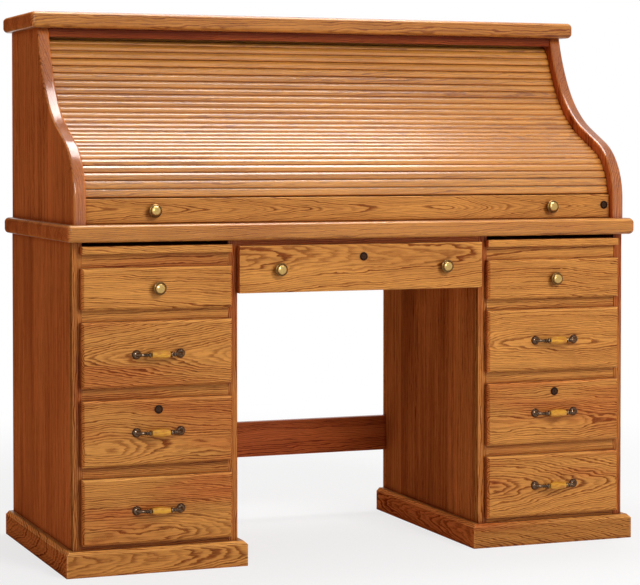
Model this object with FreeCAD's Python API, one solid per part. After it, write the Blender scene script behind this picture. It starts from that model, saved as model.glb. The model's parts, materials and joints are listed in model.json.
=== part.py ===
"""Roll-top pedestal desk in oak: boards, drawers, tambour groups and fittings as separate solids.

Millimetres. The origin is on the floor under the middle of the desk's outer box. +X runs to the
right of someone facing the desk, +Y to its back and +Z up. The curtain is closed, and the drawers
and writing boards are pushed in.
"""
import FreeCAD, Part
import math
import os
from FreeCAD import Vector

# Desk top
TOP_DEPTH = 600.5
TOP_HEIGHT = 762.0
TOP_THICK = 38.0
TOP_ROUND = 12.0
TOP_OVERHANG = 33.5
TOP_END_OVERHANG = 18.5

# Pedestals
KNEEHOLE_WIDTH = 590.0
PEDESTAL_WIDTH = 376.0
PANEL_THICK = 19.0
BACK_THICK = 8.0
FRAME_THICK = 19.0
STILE_WIDTH = 22.0
PLINTH_THICK = 18.5
PLINTH_HEIGHT = 56.0
PLINTH_BEVEL = 8.0
STRETCHER_LOW = 156.0
STRETCHER_HEIGHT = 87.0
STRETCHER_THICK = 19.0
APRON_HEIGHT = 24.0

# Drawer fronts of a pedestal, stacked from the bottom
FRONT_THICK = 18.6
FRONT_BEVEL = 5.0
FRONT_FIRST_LOW = 67.0
FRONT_GAP = 26.0
SMALL_FRONT_HEIGHT = 91.0
FRONT_LAP = 8.0
FRONT_SIDE_LAP = 5.0
SEAT_GAP = 0.4

# Drawer boxes and what they run on
BOX_BACK_SPACE = 59.4
BOX_SIDE_THICK = 12.0
BOX_BOTTOM_THICK = 6.0
BOX_BOTTOM_RAISE = 8.0
BOX_SIDE_CLEAR = 3.0
BOX_HEADROOM = 14.0
RUN_GAP = 0.4
RUNNER_HEIGHT = 15.0
RUNNER_UNDER_BOX = 12.0

# Pencil drawer across the kneehole
PENCIL_TOP_GAP = 13.0
PENCIL_FRONT_HEIGHT = 105.0
PENCIL_FRONT_LAP = 1.0
PENCIL_EDGE_ROUND = 2.0
PENCIL_BACK_SPACE = 147.4
PENCIL_BOX_RAISE = 15.0
PENCIL_BOX_HEIGHT = 74.0

# Pull-out writing boards
BOARD_THICK = 17.0
BOARD_BACK_SPACE = 99.4
BOARD_TOP_GAP = 9.0
BOARD_RAIL_GAP = 30.0
BOARD_SIDE_CLEAR = 2.0
BOARD_LIP_ROUND = 4.0

# Hutch
HUTCH_END_SET_BACK = 19.5
HUTCH_HEIGHT = 440.0
HUTCH_SIDE_THICK = 29.0
HUTCH_EDGE_ROUND = 7.0
HUTCH_SET_BACK = 22.5
CAP_END_OVERHANG = 21.0
CAP_OVERHANG = 31.2
CAP_THICK = 37.0
CAP_PANEL_THICK = 20.0
CAP_ROUND = 12.0
HEADER_SET_BACK = 1.0
HEADER_THICK = 12.0
HEADER_HEIGHT = 20.0

# Front edge of a hutch side: upright foot, round belly, slope, hollow and neck
FOOT_RISE = 46.0
BELLY_RADIUS = 150.0
SLOPE_ANGLE = math.radians(25.0)
SLOPE_LENGTH = 75.0
HOLLOW_RADIUS = 285.0
HOLLOW_END_ANGLE = math.radians(58.0)
NECK_RADIUS = 430.0

# Tambour: its canvas follows the front edge at a set-back, then turns under the cap
CANVAS_SET_BACK = 30.0
CANVAS_THICK = 1.0
TURN_RADIUS = 55.0
TURN_TOP_BELOW_CAP = 20.0
SLAT_PITCH = 19.0
SLAT_GAP = 1.4
SLAT_THICK = 6.5
SLAT_EDGE_THICK = 1.0
SLAT_SHOULDER = 4.5
SLAT_END_GAP = 0.4
SLATS_PER_GROUP = (3, 3, 3, 4, 4, 3, 2, 2, 4)
LIFT_RAIL_HEIGHT = 55.0
LIFT_RAIL_THICK = 12.0
LIFT_RAIL_ROUND = 3.0
LIFT_RAIL_REST_GAP = 0.6

# Pigeonhole gallery at the back of the hutch
GALLERY_END_SPACE = 51.0
GALLERY_CANVAS_SPACE = 50.7
GALLERY_HEIGHT = 290.0
GALLERY_BOARD = 10.0
GALLERY_BACK_THICK = 6.0
GALLERY_BEHIND_SPACE = 42.0
GALLERY_COLUMNS = 6
GALLERY_SHELF_HEIGHT = 165.0

# Knobs
KNOB_PLATE_RADIUS = 9.5
KNOB_PLATE_THICK = 2.5
KNOB_STEM_RADIUS = 6.0
KNOB_STEM_LENGTH = 7.0
KNOB_HEAD_RADIUS = 15.0
KNOB_HEAD_THICK = 9.0
KNOB_HEAD_ROUND = 3.5
KNOB_BUTTON_RADIUS = 10.5
KNOB_BUTTON_RISE = 4.0
PENCIL_KNOB_FROM_END = 94.0
PENCIL_KNOB_BELOW_MIDDLE = 1.0
LIFT_KNOB_FROM_END = 155.6

# Bow pulls
PULL_FEET_SPACING = 100.0
PULL_FOOT_RADIUS = 10.5
PULL_FOOT_RISE = 9.0
PULL_ARM_RADIUS = 3.4
PULL_BARREL_RADIUS = 8.5
PULL_BARREL_LENGTH = 43.0
PULL_BARREL_ROUND = 3.0
PULL_PROJECTION = 28.0

# Screws of the knobs and pulls
SCREW_RADIUS = 2.0
SCREW_HOLE_RADIUS = 2.2
SCREW_HEAD_RADIUS = 4.0
SCREW_HEAD_THICK = 2.5

# Key locks
LOCK_FLANGE_RADIUS = 9.5
LOCK_FLANGE_THICK = 1.5
LOCK_BARREL_RADIUS = 8.0
LOCK_BARREL_LENGTH = 34.0
LOCK_PLUG_RADIUS = 5.5
LOCK_PLUG_CLEAR = 0.05
LOCK_PLUG_PROUD = 0.5
LOCK_KEYHOLE_WIDTH = 1.6
LOCK_KEYHOLE_HEIGHT = 6.0
LOCK_KEYHOLE_DEPTH = 6.0
LOCK_CAM_LENGTH = 34.0
LOCK_CAM_WIDTH = 9.0
LOCK_CAM_THICK = 3.0
LOCK_CAM_CLEAR = 1.0
DRAWER_LOCK_BELOW_TOP = 23.0
PENCIL_LOCK_BELOW_TOP = 28.0
LIFT_LOCK_FROM_END = 14.0
LIFT_LOCK_HEIGHT = 30.5
STRIKE_CLEAR = 2.0

# Places that follow from the sizes above
FRONT_REACH = SEAT_GAP + FRONT_THICK + PULL_PROJECTION
BACK_Y = (TOP_DEPTH - TOP_OVERHANG + FRONT_REACH) / 2
FRAME_Y = BACK_Y - TOP_DEPTH + TOP_OVERHANG
FRAME_BACK_Y = FRAME_Y + FRAME_THICK
TOP_FRONT_Y = BACK_Y - TOP_DEPTH
FACE_Y = FRAME_Y - SEAT_GAP - FRONT_THICK
SEAT_Y = FRAME_Y - SEAT_GAP
TOP_LOW = TOP_HEIGHT - TOP_THICK
INNER_X = KNEEHOLE_WIDTH / 2
OUTER_X = INNER_X + PEDESTAL_WIDTH
MIDDLE_X = (INNER_X + OUTER_X) / 2
TOP_WIDTH = 2 * (OUTER_X + TOP_END_OVERHANG)
OPENING_WIDTH = PEDESTAL_WIDTH - 2 * STILE_WIDTH
FRONT_WIDTH = OPENING_WIDTH + 2 * FRONT_SIDE_LAP
PENCIL_FRONT_LOW = TOP_LOW - PENCIL_TOP_GAP - PENCIL_FRONT_HEIGHT
BOARD_LOW = TOP_LOW - BOARD_TOP_GAP - BOARD_THICK
TALL_FRONT_COUNT = 3
STACK_HEIGHT = BOARD_LOW - BOARD_RAIL_GAP - FRONT_FIRST_LOW
TALL_FRONT_HEIGHT = (STACK_HEIGHT - SMALL_FRONT_HEIGHT) / TALL_FRONT_COUNT - FRONT_GAP
BOX_LENGTH = BACK_Y - BACK_THICK - BOX_BACK_SPACE - SEAT_Y
BOARD_LENGTH = BACK_Y - BACK_THICK - BOARD_BACK_SPACE - SEAT_Y
PENCIL_BOX_LENGTH = BACK_Y - PENCIL_BACK_SPACE - SEAT_Y
HUTCH_WIDTH = TOP_WIDTH - 2 * HUTCH_END_SET_BACK
CAP_WIDTH = HUTCH_WIDTH + 2 * CAP_END_OVERHANG
HUTCH_X = HUTCH_WIDTH / 2
HUTCH_INNER_X = HUTCH_X - HUTCH_SIDE_THICK
HUTCH_FRONT_Y = TOP_FRONT_Y + HUTCH_SET_BACK
CAP_LOW = TOP_HEIGHT + HUTCH_HEIGHT
CAP_TOP = CAP_LOW + CAP_THICK
SLAT_X = HUTCH_INNER_X - SLAT_END_GAP
GALLERY_WIDTH = 2 * (HUTCH_INNER_X - GALLERY_END_SPACE)
FRONT_HEIGHTS = (TALL_FRONT_HEIGHT,) * TALL_FRONT_COUNT + (SMALL_FRONT_HEIGHT,)
STACK = ("bottom", "third", "second", "top")
SIDES = (("left", -1), ("right", 1))


def front_low(level):
    """Height of the lower edge of the drawer front at a level of the stack."""
    return FRONT_FIRST_LOW + sum(FRONT_HEIGHTS[:level]) + level * FRONT_GAP


def opening(level):
    """Lower and upper edge of the face frame's opening at a level of the stack."""
    low = front_low(level)
    return low + FRONT_LAP, low + FRONT_HEIGHTS[level] - FRONT_LAP


def board(xs, ys, zs):
    """A square-edged board between two limits on each axis."""
    corner = Vector(min(xs), min(ys), min(zs))
    size = [max(limits) - min(limits) for limits in (xs, ys, zs)]
    return Part.makeBox(*size, corner)


def edges_where(solid, test):
    """The edges of a solid whose bounding box passes a test."""
    return [edge for edge in solid.Edges if test(edge.BoundBox)]


def polygon_prism(points, direction):
    """A prism on a closed polygon, drawn along a direction."""
    wire = Part.makePolygon(points + points[:1])
    return Part.Face(wire).extrude(direction)


def out_cylinder(radius, place, start, length):
    """A round bar along -Y, from a distance in front of a place on a face; inwards is negative."""
    foot = Vector(place.x, place.y - start, place.z)
    return Part.makeCylinder(radius, length, foot, Vector(0, -1, 0))


def dome(radius, rise, place, start):
    """A round button that stands on a circle and bulges along -Y."""
    ball = (radius ** 2 + rise ** 2) / (2 * rise)
    centre = Vector(place.x, place.y - start - rise + ball, place.z)
    solid = Part.makeSphere(ball, centre)
    return solid.common(out_cylinder(radius, place, start, rise))


def save(node, solids):
    """Write the solids of one node to its own file."""
    Part.makeCompound(solids).exportStep(os.path.join("parts", node + ".step"))


def rounded_slab(width, ys, zs, radius):
    """A slab with round front corners and round front and side edges; its back stays square."""
    slab = board((-width / 2, width / 2), ys, zs)
    front = min(ys)
    corners = edges_where(slab, lambda box: box.YMax - front < radius and box.ZLength > radius)
    slab = slab.makeFillet(radius, corners)
    back = max(ys)
    rims = edges_where(slab, lambda box: box.ZLength < radius and back - box.YMin > radius)
    return slab.makeFillet(radius, rims)


def make_desk_top():
    """Desk top, with a small mortise that takes the cam of the curtain's lock."""
    top = rounded_slab(TOP_WIDTH, (TOP_FRONT_Y, BACK_Y), (TOP_LOW, TOP_HEIGHT), TOP_ROUND)
    lock = lift_lock_place()
    cam_y = lock.y + LIFT_RAIL_THICK + LOCK_CAM_CLEAR
    rise = lock.z - TOP_HEIGHT
    sweep = math.hypot(LOCK_CAM_LENGTH, LOCK_CAM_WIDTH / 2)
    half = math.sqrt(sweep ** 2 - rise ** 2) + STRIKE_CLEAR
    mortise = board((lock.x - half, lock.x + half),
                    (cam_y - STRIKE_CLEAR, cam_y + LOCK_CAM_THICK + STRIKE_CLEAR),
                    (lock.z - sweep - STRIKE_CLEAR, TOP_HEIGHT))
    save("desk_top", [top.cut(mortise)])


def make_pedestal_shell(name, side):
    """Side panels and face frame of one pedestal."""
    inner = side * INNER_X
    outer = side * OUTER_X
    panel = side * PANEL_THICK
    depth = (FRAME_BACK_Y, BACK_Y)
    height = (0, TOP_LOW)
    save(name + "_pedestal_sides", [board((inner, inner + panel), depth, height),
                                    board((outer - panel, outer), depth, height)])
    thick = (FRAME_Y, FRAME_BACK_Y)
    stile = side * STILE_WIDTH
    between = (inner + stile, outer - stile)
    levels = [opening(level) for level in range(len(STACK))]
    lows = [0] + [high for low, high in levels]
    highs = [low for low, high in levels] + [BOARD_LOW - RUN_GAP]
    frame = [board((inner, inner + stile), thick, height),
             board((outer - stile, outer), thick, height)]
    frame += [board(between, thick, rail) for rail in zip(lows, highs)]
    save(name + "_face_frame", frame)


def plinth_board(outline):
    """A mitred plinth board; the first two points of its plan are the outer edge, which is bevelled."""
    solid = polygon_prism(outline, Vector(0, 0, PLINTH_HEIGHT))
    middle = (outline[0] + outline[1]) / 2
    near = PLINTH_THICK / 4
    top_edge = edges_where(solid, lambda box: box.ZMin > PLINTH_HEIGHT / 2
                           and abs(box.Center.x - middle.x) < near
                           and abs(box.Center.y - middle.y) < near)
    return solid.makeChamfer(PLINTH_BEVEL, top_edge)


def make_plinths():
    """Plinth boards round the front and sides of both pedestals."""
    boards = []
    low_y = FRAME_Y - PLINTH_THICK
    for name, side in SIDES:
        inner = side * INNER_X
        outer = side * OUTER_X
        out = side * PLINTH_THICK
        boards.append(plinth_board([Vector(inner - out, low_y), Vector(outer + out, low_y),
                                    Vector(outer, FRAME_Y), Vector(inner, FRAME_Y)]))
        boards.append(plinth_board([Vector(outer + out, low_y), Vector(outer + out, BACK_Y),
                                    Vector(outer, BACK_Y), Vector(outer, FRAME_Y)]))
        boards.append(plinth_board([Vector(inner - out, low_y), Vector(inner - out, BACK_Y),
                                    Vector(inner, BACK_Y), Vector(inner, FRAME_Y)]))
    save("plinths", boards)


def make_back_and_rails():
    """Pedestal backs, the stretcher between them and the rail above the pencil drawer."""
    backs = [board((side * (INNER_X + PANEL_THICK), side * (OUTER_X - PANEL_THICK)),
                   (BACK_Y - BACK_THICK, BACK_Y), (0, TOP_LOW)) for name, side in SIDES]
    save("pedestal_backs", backs)
    across = (-INNER_X, INNER_X)
    save("back_stretcher", [board(across, (BACK_Y - STRETCHER_THICK, BACK_Y),
                                  (STRETCHER_LOW, STRETCHER_LOW + STRETCHER_HEIGHT))])
    save("apron_rail", [board(across, (FRAME_Y, FRAME_BACK_Y), (TOP_LOW - APRON_HEIGHT, TOP_LOW))])


def make_runners():
    """Wooden runners under both sides of every drawer box and writing board."""
    strips = []
    box_half = OPENING_WIDTH / 2 - BOX_SIDE_CLEAR
    tops = [opening(level)[0] for level in range(len(STACK))] + [BOARD_LOW - RUN_GAP]
    depth = (FRAME_BACK_Y, BACK_Y - BACK_THICK)
    for name, side in SIDES:
        middle = side * MIDDLE_X
        for hand in (-1, 1):
            wall = middle + hand * (PEDESTAL_WIDTH / 2 - PANEL_THICK)
            reach = middle + hand * (box_half - RUNNER_UNDER_BOX)
            strips += [board((wall, reach), depth, (top - RUNNER_HEIGHT, top)) for top in tops]
        cleat = side * (INNER_X - BOX_SIDE_CLEAR - RUNNER_UNDER_BOX)
        cleat_top = PENCIL_FRONT_LOW + PENCIL_BOX_RAISE - RUN_GAP
        strips.append(board((cleat, side * INNER_X), (FRAME_BACK_Y, SEAT_Y + PENCIL_BOX_LENGTH),
                            (cleat_top - PENCIL_BOX_RAISE + RUN_GAP, cleat_top)))
    save("drawer_runners", strips)


def pull(place, depth):
    """A bow pull with its screws; depth is how much wood the screws pass."""
    axis_out = PULL_PROJECTION - PULL_BARREL_RADIUS
    half = PULL_BARREL_LENGTH / 2
    barrel = Part.makeCylinder(PULL_BARREL_RADIUS, PULL_BARREL_LENGTH,
                               Vector(place.x - half, place.y - axis_out, place.z), Vector(1, 0, 0))
    barrel = barrel.makeFillet(PULL_BARREL_ROUND, edges_where(barrel, lambda box: box.XLength < half))
    solids = [barrel]
    for hand in (-1, 1):
        foot_place = place + Vector(hand * PULL_FEET_SPACING / 2, 0, 0)
        foot = dome(PULL_FOOT_RADIUS, PULL_FOOT_RISE, foot_place, 0)
        start = foot_place + Vector(0, -PULL_FOOT_RISE / 2, 0)
        end = place + Vector(hand * (half - PULL_BARREL_ROUND), -axis_out, 0)
        arm = Part.makeCylinder(PULL_ARM_RADIUS, (end - start).Length, start, end - start)
        solids += [foot, arm.cut(foot).cut(barrel), screw(foot_place, depth)]
    return solids


def screw(place, depth):
    """A screw from the inside of a drawer front to the foot of a fitting."""
    shank = out_cylinder(SCREW_RADIUS, place, -depth, depth)
    head = out_cylinder(SCREW_HEAD_RADIUS, place, -depth - SCREW_HEAD_THICK, SCREW_HEAD_THICK)
    return shank.fuse(head).removeSplitter()


def screw_hole(place, depth):
    """The clearance hole of a screw through a drawer front."""
    return out_cylinder(SCREW_HOLE_RADIUS, place, -depth, depth)


def knob(place, depth):
    """A turned knob with its button and its screw."""
    plate = out_cylinder(KNOB_PLATE_RADIUS, place, 0, KNOB_PLATE_THICK)
    head_start = KNOB_PLATE_THICK + KNOB_STEM_LENGTH
    stem = out_cylinder(KNOB_STEM_RADIUS, place, KNOB_PLATE_THICK, KNOB_STEM_LENGTH)
    head = out_cylinder(KNOB_HEAD_RADIUS, place, head_start, KNOB_HEAD_THICK)
    rims = edges_where(head, lambda box: box.YLength < KNOB_HEAD_ROUND)
    head = head.makeFillet(KNOB_HEAD_ROUND, rims)
    metal = plate.fuse([stem, head]).removeSplitter()
    button = dome(KNOB_BUTTON_RADIUS, KNOB_BUTTON_RISE, place, head_start + KNOB_HEAD_THICK)
    return [metal, button, screw(place, depth)]


def lock_barrel(place, length):
    """The fixed barrel of a key lock, bored for its plug."""
    flange = out_cylinder(LOCK_FLANGE_RADIUS, place, 0, LOCK_FLANGE_THICK)
    tube = out_cylinder(LOCK_BARREL_RADIUS, place, -length, length)
    bore = out_cylinder(LOCK_PLUG_RADIUS + LOCK_PLUG_CLEAR, place, -length, length + LOCK_FLANGE_THICK)
    return flange.fuse(tube).removeSplitter().cut(bore)


def lock_hole(place, length):
    """The hole that a lock barrel fills."""
    return out_cylinder(LOCK_BARREL_RADIUS, place, -length, length)


def lock_plug(place, cam_depth, hand):
    """The turning plug of a key lock, and the cam on its inner end, which points along X at rest."""
    front = LOCK_FLANGE_THICK + LOCK_PLUG_PROUD
    plug = out_cylinder(LOCK_PLUG_RADIUS, place, -cam_depth, cam_depth + front)
    keyhole = board((place.x - LOCK_KEYHOLE_WIDTH / 2, place.x + LOCK_KEYHOLE_WIDTH / 2),
                    (place.y - front, place.y - front + LOCK_KEYHOLE_DEPTH),
                    (place.z - LOCK_KEYHOLE_HEIGHT / 2, place.z + LOCK_KEYHOLE_HEIGHT / 2))
    half = LOCK_CAM_WIDTH / 2
    cam = board((place.x - hand * half, place.x + hand * LOCK_CAM_LENGTH),
                (place.y + cam_depth, place.y + cam_depth + LOCK_CAM_THICK),
                (place.z - half, place.z + half))
    return [plug.cut(keyhole), cam]


def drawer_box(middle, half_width, low, height, length):
    """Two sides, an inner front, a back and a bottom, in that order."""
    left = middle - half_width
    right = middle + half_width
    wall = BOX_SIDE_THICK
    inside = (left + wall, right - wall)
    end = SEAT_Y + length
    zs = (low, low + height)
    floor = low + BOX_BOTTOM_RAISE
    return [board((left, left + wall), (SEAT_Y, end), zs),
            board((right - wall, right), (SEAT_Y, end), zs),
            board(inside, (SEAT_Y, SEAT_Y + wall), zs),
            board(inside, (end - wall, end), zs),
            board(inside, (SEAT_Y + wall, end - wall), (floor, floor + BOX_BOTTOM_THICK))]


def cut_all(solids, holes):
    """Cut every hole from every solid."""
    return [solid.cut(holes) if holes else solid for solid in solids]


SCREW_DEPTH = FRONT_THICK + BOX_SIDE_THICK
CAM_DEPTH = FRONT_THICK + SEAT_GAP + FRAME_THICK + LOCK_CAM_CLEAR


def make_pedestal_drawer(name, side, level):
    """One drawer of a pedestal: front, box, fitting and, on the third, a lock."""
    drawer = name + "_" + STACK[level] + "_drawer"
    middle = side * MIDDLE_X
    low = front_low(level)
    high = low + FRONT_HEIGHTS[level]
    front = board((middle - FRONT_WIDTH / 2, middle + FRONT_WIDTH / 2), (FACE_Y, SEAT_Y), (low, high))
    rims = edges_where(front, lambda box: box.YMax - FACE_Y < FRONT_BEVEL)
    front = front.makeChamfer(FRONT_BEVEL, rims)
    place = Vector(middle, FACE_Y, (low + high) / 2)
    if STACK[level] == "top":
        fitting = knob(place, SCREW_DEPTH)
        fitting_name = "knob"
        holes = [screw_hole(place, SCREW_DEPTH)]
    else:
        fitting = pull(place, SCREW_DEPTH)
        fitting_name = "pull"
        feet = [place + Vector(hand * PULL_FEET_SPACING / 2, 0, 0) for hand in (-1, 1)]
        holes = [screw_hole(foot, SCREW_DEPTH) for foot in feet]
    if STACK[level] == "third":
        lock = Vector(middle, FACE_Y, high - DRAWER_LOCK_BELOW_TOP)
        fitting.append(lock_barrel(lock, LOCK_BARREL_LENGTH))
        holes.append(lock_hole(lock, LOCK_BARREL_LENGTH))
        save(drawer + "_lock_plug", lock_plug(lock, CAM_DEPTH, 1))
    below, above = opening(level)
    half = OPENING_WIDTH / 2 - BOX_SIDE_CLEAR
    height = above - below - BOX_HEADROOM
    box = drawer_box(middle, half, below + RUN_GAP, height, BOX_LENGTH)
    save(drawer + "_front", cut_all([front], holes))
    save(drawer + "_box", cut_all(box, holes))
    save(drawer + "_" + fitting_name, fitting)


def make_pencil_drawer():
    """The wide drawer across the kneehole, with two knobs and a lock."""
    high = PENCIL_FRONT_LOW + PENCIL_FRONT_HEIGHT
    half_front = INNER_X + PENCIL_FRONT_LAP
    front = board((-half_front, half_front), (FACE_Y, SEAT_Y), (PENCIL_FRONT_LOW, high))
    rims = edges_where(front, lambda box: box.YMax - FACE_Y < PENCIL_EDGE_ROUND)
    front = front.makeFillet(PENCIL_EDGE_ROUND, rims)
    knob_z = (PENCIL_FRONT_LOW + high) / 2 - PENCIL_KNOB_BELOW_MIDDLE
    knob_x = half_front - PENCIL_KNOB_FROM_END
    places = [Vector(hand * knob_x, FACE_Y, knob_z) for hand in (-1, 1)]
    fittings = []
    for place in places:
        fittings += knob(place, SCREW_DEPTH)
    lock = Vector(0, FACE_Y, high - PENCIL_LOCK_BELOW_TOP)
    fittings.append(lock_barrel(lock, LOCK_BARREL_LENGTH))
    holes = [screw_hole(place, SCREW_DEPTH) for place in places]
    holes.append(lock_hole(lock, LOCK_BARREL_LENGTH))
    box = drawer_box(0, INNER_X - BOX_SIDE_CLEAR, PENCIL_FRONT_LOW + PENCIL_BOX_RAISE,
                     PENCIL_BOX_HEIGHT, PENCIL_BOX_LENGTH)
    save("pencil_drawer_front", cut_all([front], holes))
    save("pencil_drawer_box", cut_all(box, holes))
    save("pencil_drawer_knobs", fittings)
    save("pencil_drawer_lock_plug", lock_plug(lock, CAM_DEPTH, 1))


def make_writing_board(name, side):
    """A pull-out board with a lip as wide as the drawer fronts."""
    middle = side * MIDDLE_X
    zs = (BOARD_LOW, BOARD_LOW + BOARD_THICK)
    half = OPENING_WIDTH / 2 - BOARD_SIDE_CLEAR
    leaf = board((middle - half, middle + half), (SEAT_Y, SEAT_Y + BOARD_LENGTH), zs)
    lip = board((middle - FRONT_WIDTH / 2, middle + FRONT_WIDTH / 2), (FACE_Y, SEAT_Y), zs)
    rims = edges_where(lip, lambda box: box.YMax - FACE_Y < BOARD_LIP_ROUND)
    save(name + "_writing_board", [leaf, lip.makeFillet(BOARD_LIP_ROUND, rims)])


class Stretch:
    """A straight or round piece of the roll path, in the Y-Z plane, from a start and a heading."""

    def __init__(self, start, heading, length, turn):
        self.start = start
        self.heading = heading
        self.length = length
        self.turn = turn

    def heading_at(self, distance):
        return self.heading + self.turn * distance

    def point_at(self, distance):
        before = self.heading
        after = self.heading_at(distance)
        if self.turn == 0:
            return self.start + Vector(0, math.cos(before), math.sin(before)) * distance
        across = (math.sin(after) - math.sin(before)) / self.turn
        up = (math.cos(before) - math.cos(after)) / self.turn
        return self.start + Vector(0, across, up)

    def edge(self):
        end = self.point_at(self.length)
        if self.turn == 0:
            return Part.makeLine(self.start, end)
        return Part.Arc(self.start, self.point_at(self.length / 2), end).toShape()


def chain(start, pieces):
    """Stretches laid end to end from lengths and turns, leaving the desk top upright."""
    stretches = []
    heading = math.pi / 2
    for length, turn in pieces:
        stretch = Stretch(start, heading, length, turn)
        stretches.append(stretch)
        start = stretch.point_at(length)
        heading = stretch.heading_at(length)
    return stretches


def path_end(stretches):
    """The point where a chain of stretches ends."""
    return stretches[-1].point_at(stretches[-1].length)


def roll_pieces(set_back):
    """Lengths and turns of the foot, belly, slope and hollow at a set-back behind the front edge."""
    belly = BELLY_RADIUS - set_back
    hollow = HOLLOW_RADIUS + set_back
    return [(FOOT_RISE, 0),
            (belly * (math.pi / 2 - SLOPE_ANGLE), -1 / belly),
            (SLOPE_LENGTH, 0),
            (hollow * (HOLLOW_END_ANGLE - SLOPE_ANGLE), 1 / hollow)]


def roll_start(set_back):
    """Where the roll path leaves the desk top at a set-back behind the front edge."""
    return Vector(0, HUTCH_FRONT_Y + set_back, TOP_HEIGHT)


def hutch_front_edge():
    """The front edge of a hutch side, up to the underside of the cap."""
    start = roll_start(0)
    pieces = roll_pieces(0)
    neck_low = path_end(chain(start, pieces)).z
    end_angle = math.acos(math.cos(HOLLOW_END_ANGLE) - (CAP_LOW - neck_low) / NECK_RADIUS)
    neck = (NECK_RADIUS * (end_angle - HOLLOW_END_ANGLE), 1 / NECK_RADIUS)
    return chain(start, pieces + [neck])


def canvas_path():
    """The path of the canvas: the front edge set back, then a turn onto a level run under the cap."""
    start = roll_start(CANVAS_SET_BACK)
    pieces = roll_pieces(CANVAS_SET_BACK)
    neck_low = path_end(chain(start, pieces)).z
    neck_radius = NECK_RADIUS + CANVAS_SET_BACK
    run_z = CAP_LOW - TURN_TOP_BELOW_CAP
    neck_centre_z = neck_low + neck_radius * math.cos(HOLLOW_END_ANGLE)
    turn_angle = math.acos((neck_centre_z + TURN_RADIUS - run_z) / (neck_radius + TURN_RADIUS))
    pieces.append((neck_radius * (turn_angle - HOLLOW_END_ANGLE), 1 / neck_radius))
    pieces.append((TURN_RADIUS * turn_angle, -1 / TURN_RADIUS))
    pieces.append((BACK_Y, 0))
    return chain(start, pieces)


def point_on(path, distance):
    """The point at a distance along a chain of stretches."""
    for stretch in path[:-1]:
        if distance <= stretch.length:
            return stretch.point_at(distance)
        distance -= stretch.length
    return path[-1].point_at(distance)


def slat_spans():
    """Start and end of every slat's base along the canvas, in groups from the lift rail up."""
    place = LIFT_RAIL_REST_GAP + LIFT_RAIL_HEIGHT + SLAT_GAP
    groups = []
    for count in SLATS_PER_GROUP:
        starts = [place + index * SLAT_PITCH for index in range(count)]
        groups.append([(start, start + SLAT_PITCH - SLAT_GAP) for start in starts])
        place += count * SLAT_PITCH
    return groups


def outward(low, high):
    """The unit direction that points out of the desk, square to a slat's base."""
    along = (high - low).normalize()
    return Vector(0, -along.z, along.y)


def along_x(face):
    """A face in the Y-Z plane drawn out to the full length of a slat."""
    return face.translated(Vector(-SLAT_X, 0, 0)).extrude(Vector(2 * SLAT_X, 0, 0))


def slat_shoulder(edge, inward, out):
    """The rounded rise from one edge of a slat to its face, and where it meets the face."""
    rise = SLAT_THICK - SLAT_EDGE_THICK
    bend = edge + inward * (SLAT_SHOULDER * (1 - math.sqrt(0.5))) + out * (rise * math.sqrt(0.5))
    brow = edge + inward * SLAT_SHOULDER + out * rise
    return Part.Arc(edge, bend, brow).toShape(), brow


def slat(low, high):
    """A flat-faced slat with rounded shoulders on a flat base."""
    out = outward(low, high)
    along = (high - low).normalize()
    low_edge = low + out * SLAT_EDGE_THICK
    high_edge = high + out * SLAT_EDGE_THICK
    low_rise, low_brow = slat_shoulder(low_edge, along, out)
    high_rise, high_brow = slat_shoulder(high_edge, along * -1, out)
    wire = Part.Wire([Part.makeLine(low, high), Part.makeLine(high, high_edge), high_rise,
                      Part.makeLine(high_brow, low_brow), low_rise, Part.makeLine(low_edge, low)])
    return along_x(Part.Face(wire))


def canvas(bases):
    """The strip of canvas behind the slats of one group."""
    front = []
    back = []
    for low, high in bases:
        behind = outward(low, high) * -CANVAS_THICK
        front += [low, high]
        back += [low + behind, high + behind]
    points = front + back[::-1]
    return along_x(Part.Face(Part.makePolygon(points + points[:1])))


def make_tambour():
    """Slat groups, each glued to its own strip of canvas."""
    path = canvas_path()
    for number, spans in enumerate(slat_spans(), start=1):
        bases = [(point_on(path, low), point_on(path, high)) for low, high in spans]
        slats = [slat(low, high) for low, high in bases]
        save("tambour_group_%d" % number, slats + [canvas(bases)])


LIFT_RAIL_Y = HUTCH_FRONT_Y + CANVAS_SET_BACK - LIFT_RAIL_THICK
LIFT_RAIL_LOW = TOP_HEIGHT + LIFT_RAIL_REST_GAP


def lift_lock_place():
    """The middle of the curtain lock, on the face of the lift rail near its right end."""
    return Vector(SLAT_X - LIFT_LOCK_FROM_END, LIFT_RAIL_Y, LIFT_RAIL_LOW + LIFT_LOCK_HEIGHT)


def make_lift_rail():
    """The flat rail at the foot of the curtain, with two knobs and a lock."""
    rail = board((-SLAT_X, SLAT_X), (LIFT_RAIL_Y, LIFT_RAIL_Y + LIFT_RAIL_THICK),
                 (LIFT_RAIL_LOW, LIFT_RAIL_LOW + LIFT_RAIL_HEIGHT))
    rims = edges_where(rail, lambda box: box.YMax - LIFT_RAIL_Y < LIFT_RAIL_ROUND
                       and box.XLength > LIFT_RAIL_HEIGHT)
    rail = rail.makeFillet(LIFT_RAIL_ROUND, rims)
    middle = LIFT_RAIL_LOW + LIFT_RAIL_HEIGHT / 2
    knob_x = SLAT_X - LIFT_KNOB_FROM_END
    places = [Vector(hand * knob_x, LIFT_RAIL_Y, middle) for hand in (-1, 1)]
    fittings = []
    for place in places:
        fittings += knob(place, LIFT_RAIL_THICK)
    lock = lift_lock_place()
    fittings.append(lock_barrel(lock, LIFT_RAIL_THICK))
    holes = [screw_hole(place, LIFT_RAIL_THICK) for place in places]
    holes.append(lock_hole(lock, LIFT_RAIL_THICK))
    save("lift_rail", cut_all([rail], holes))
    save("lift_rail_knobs", fittings)
    save("lift_rail_lock_plug", lock_plug(lock, LIFT_RAIL_THICK + LOCK_CAM_CLEAR, -1))


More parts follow.
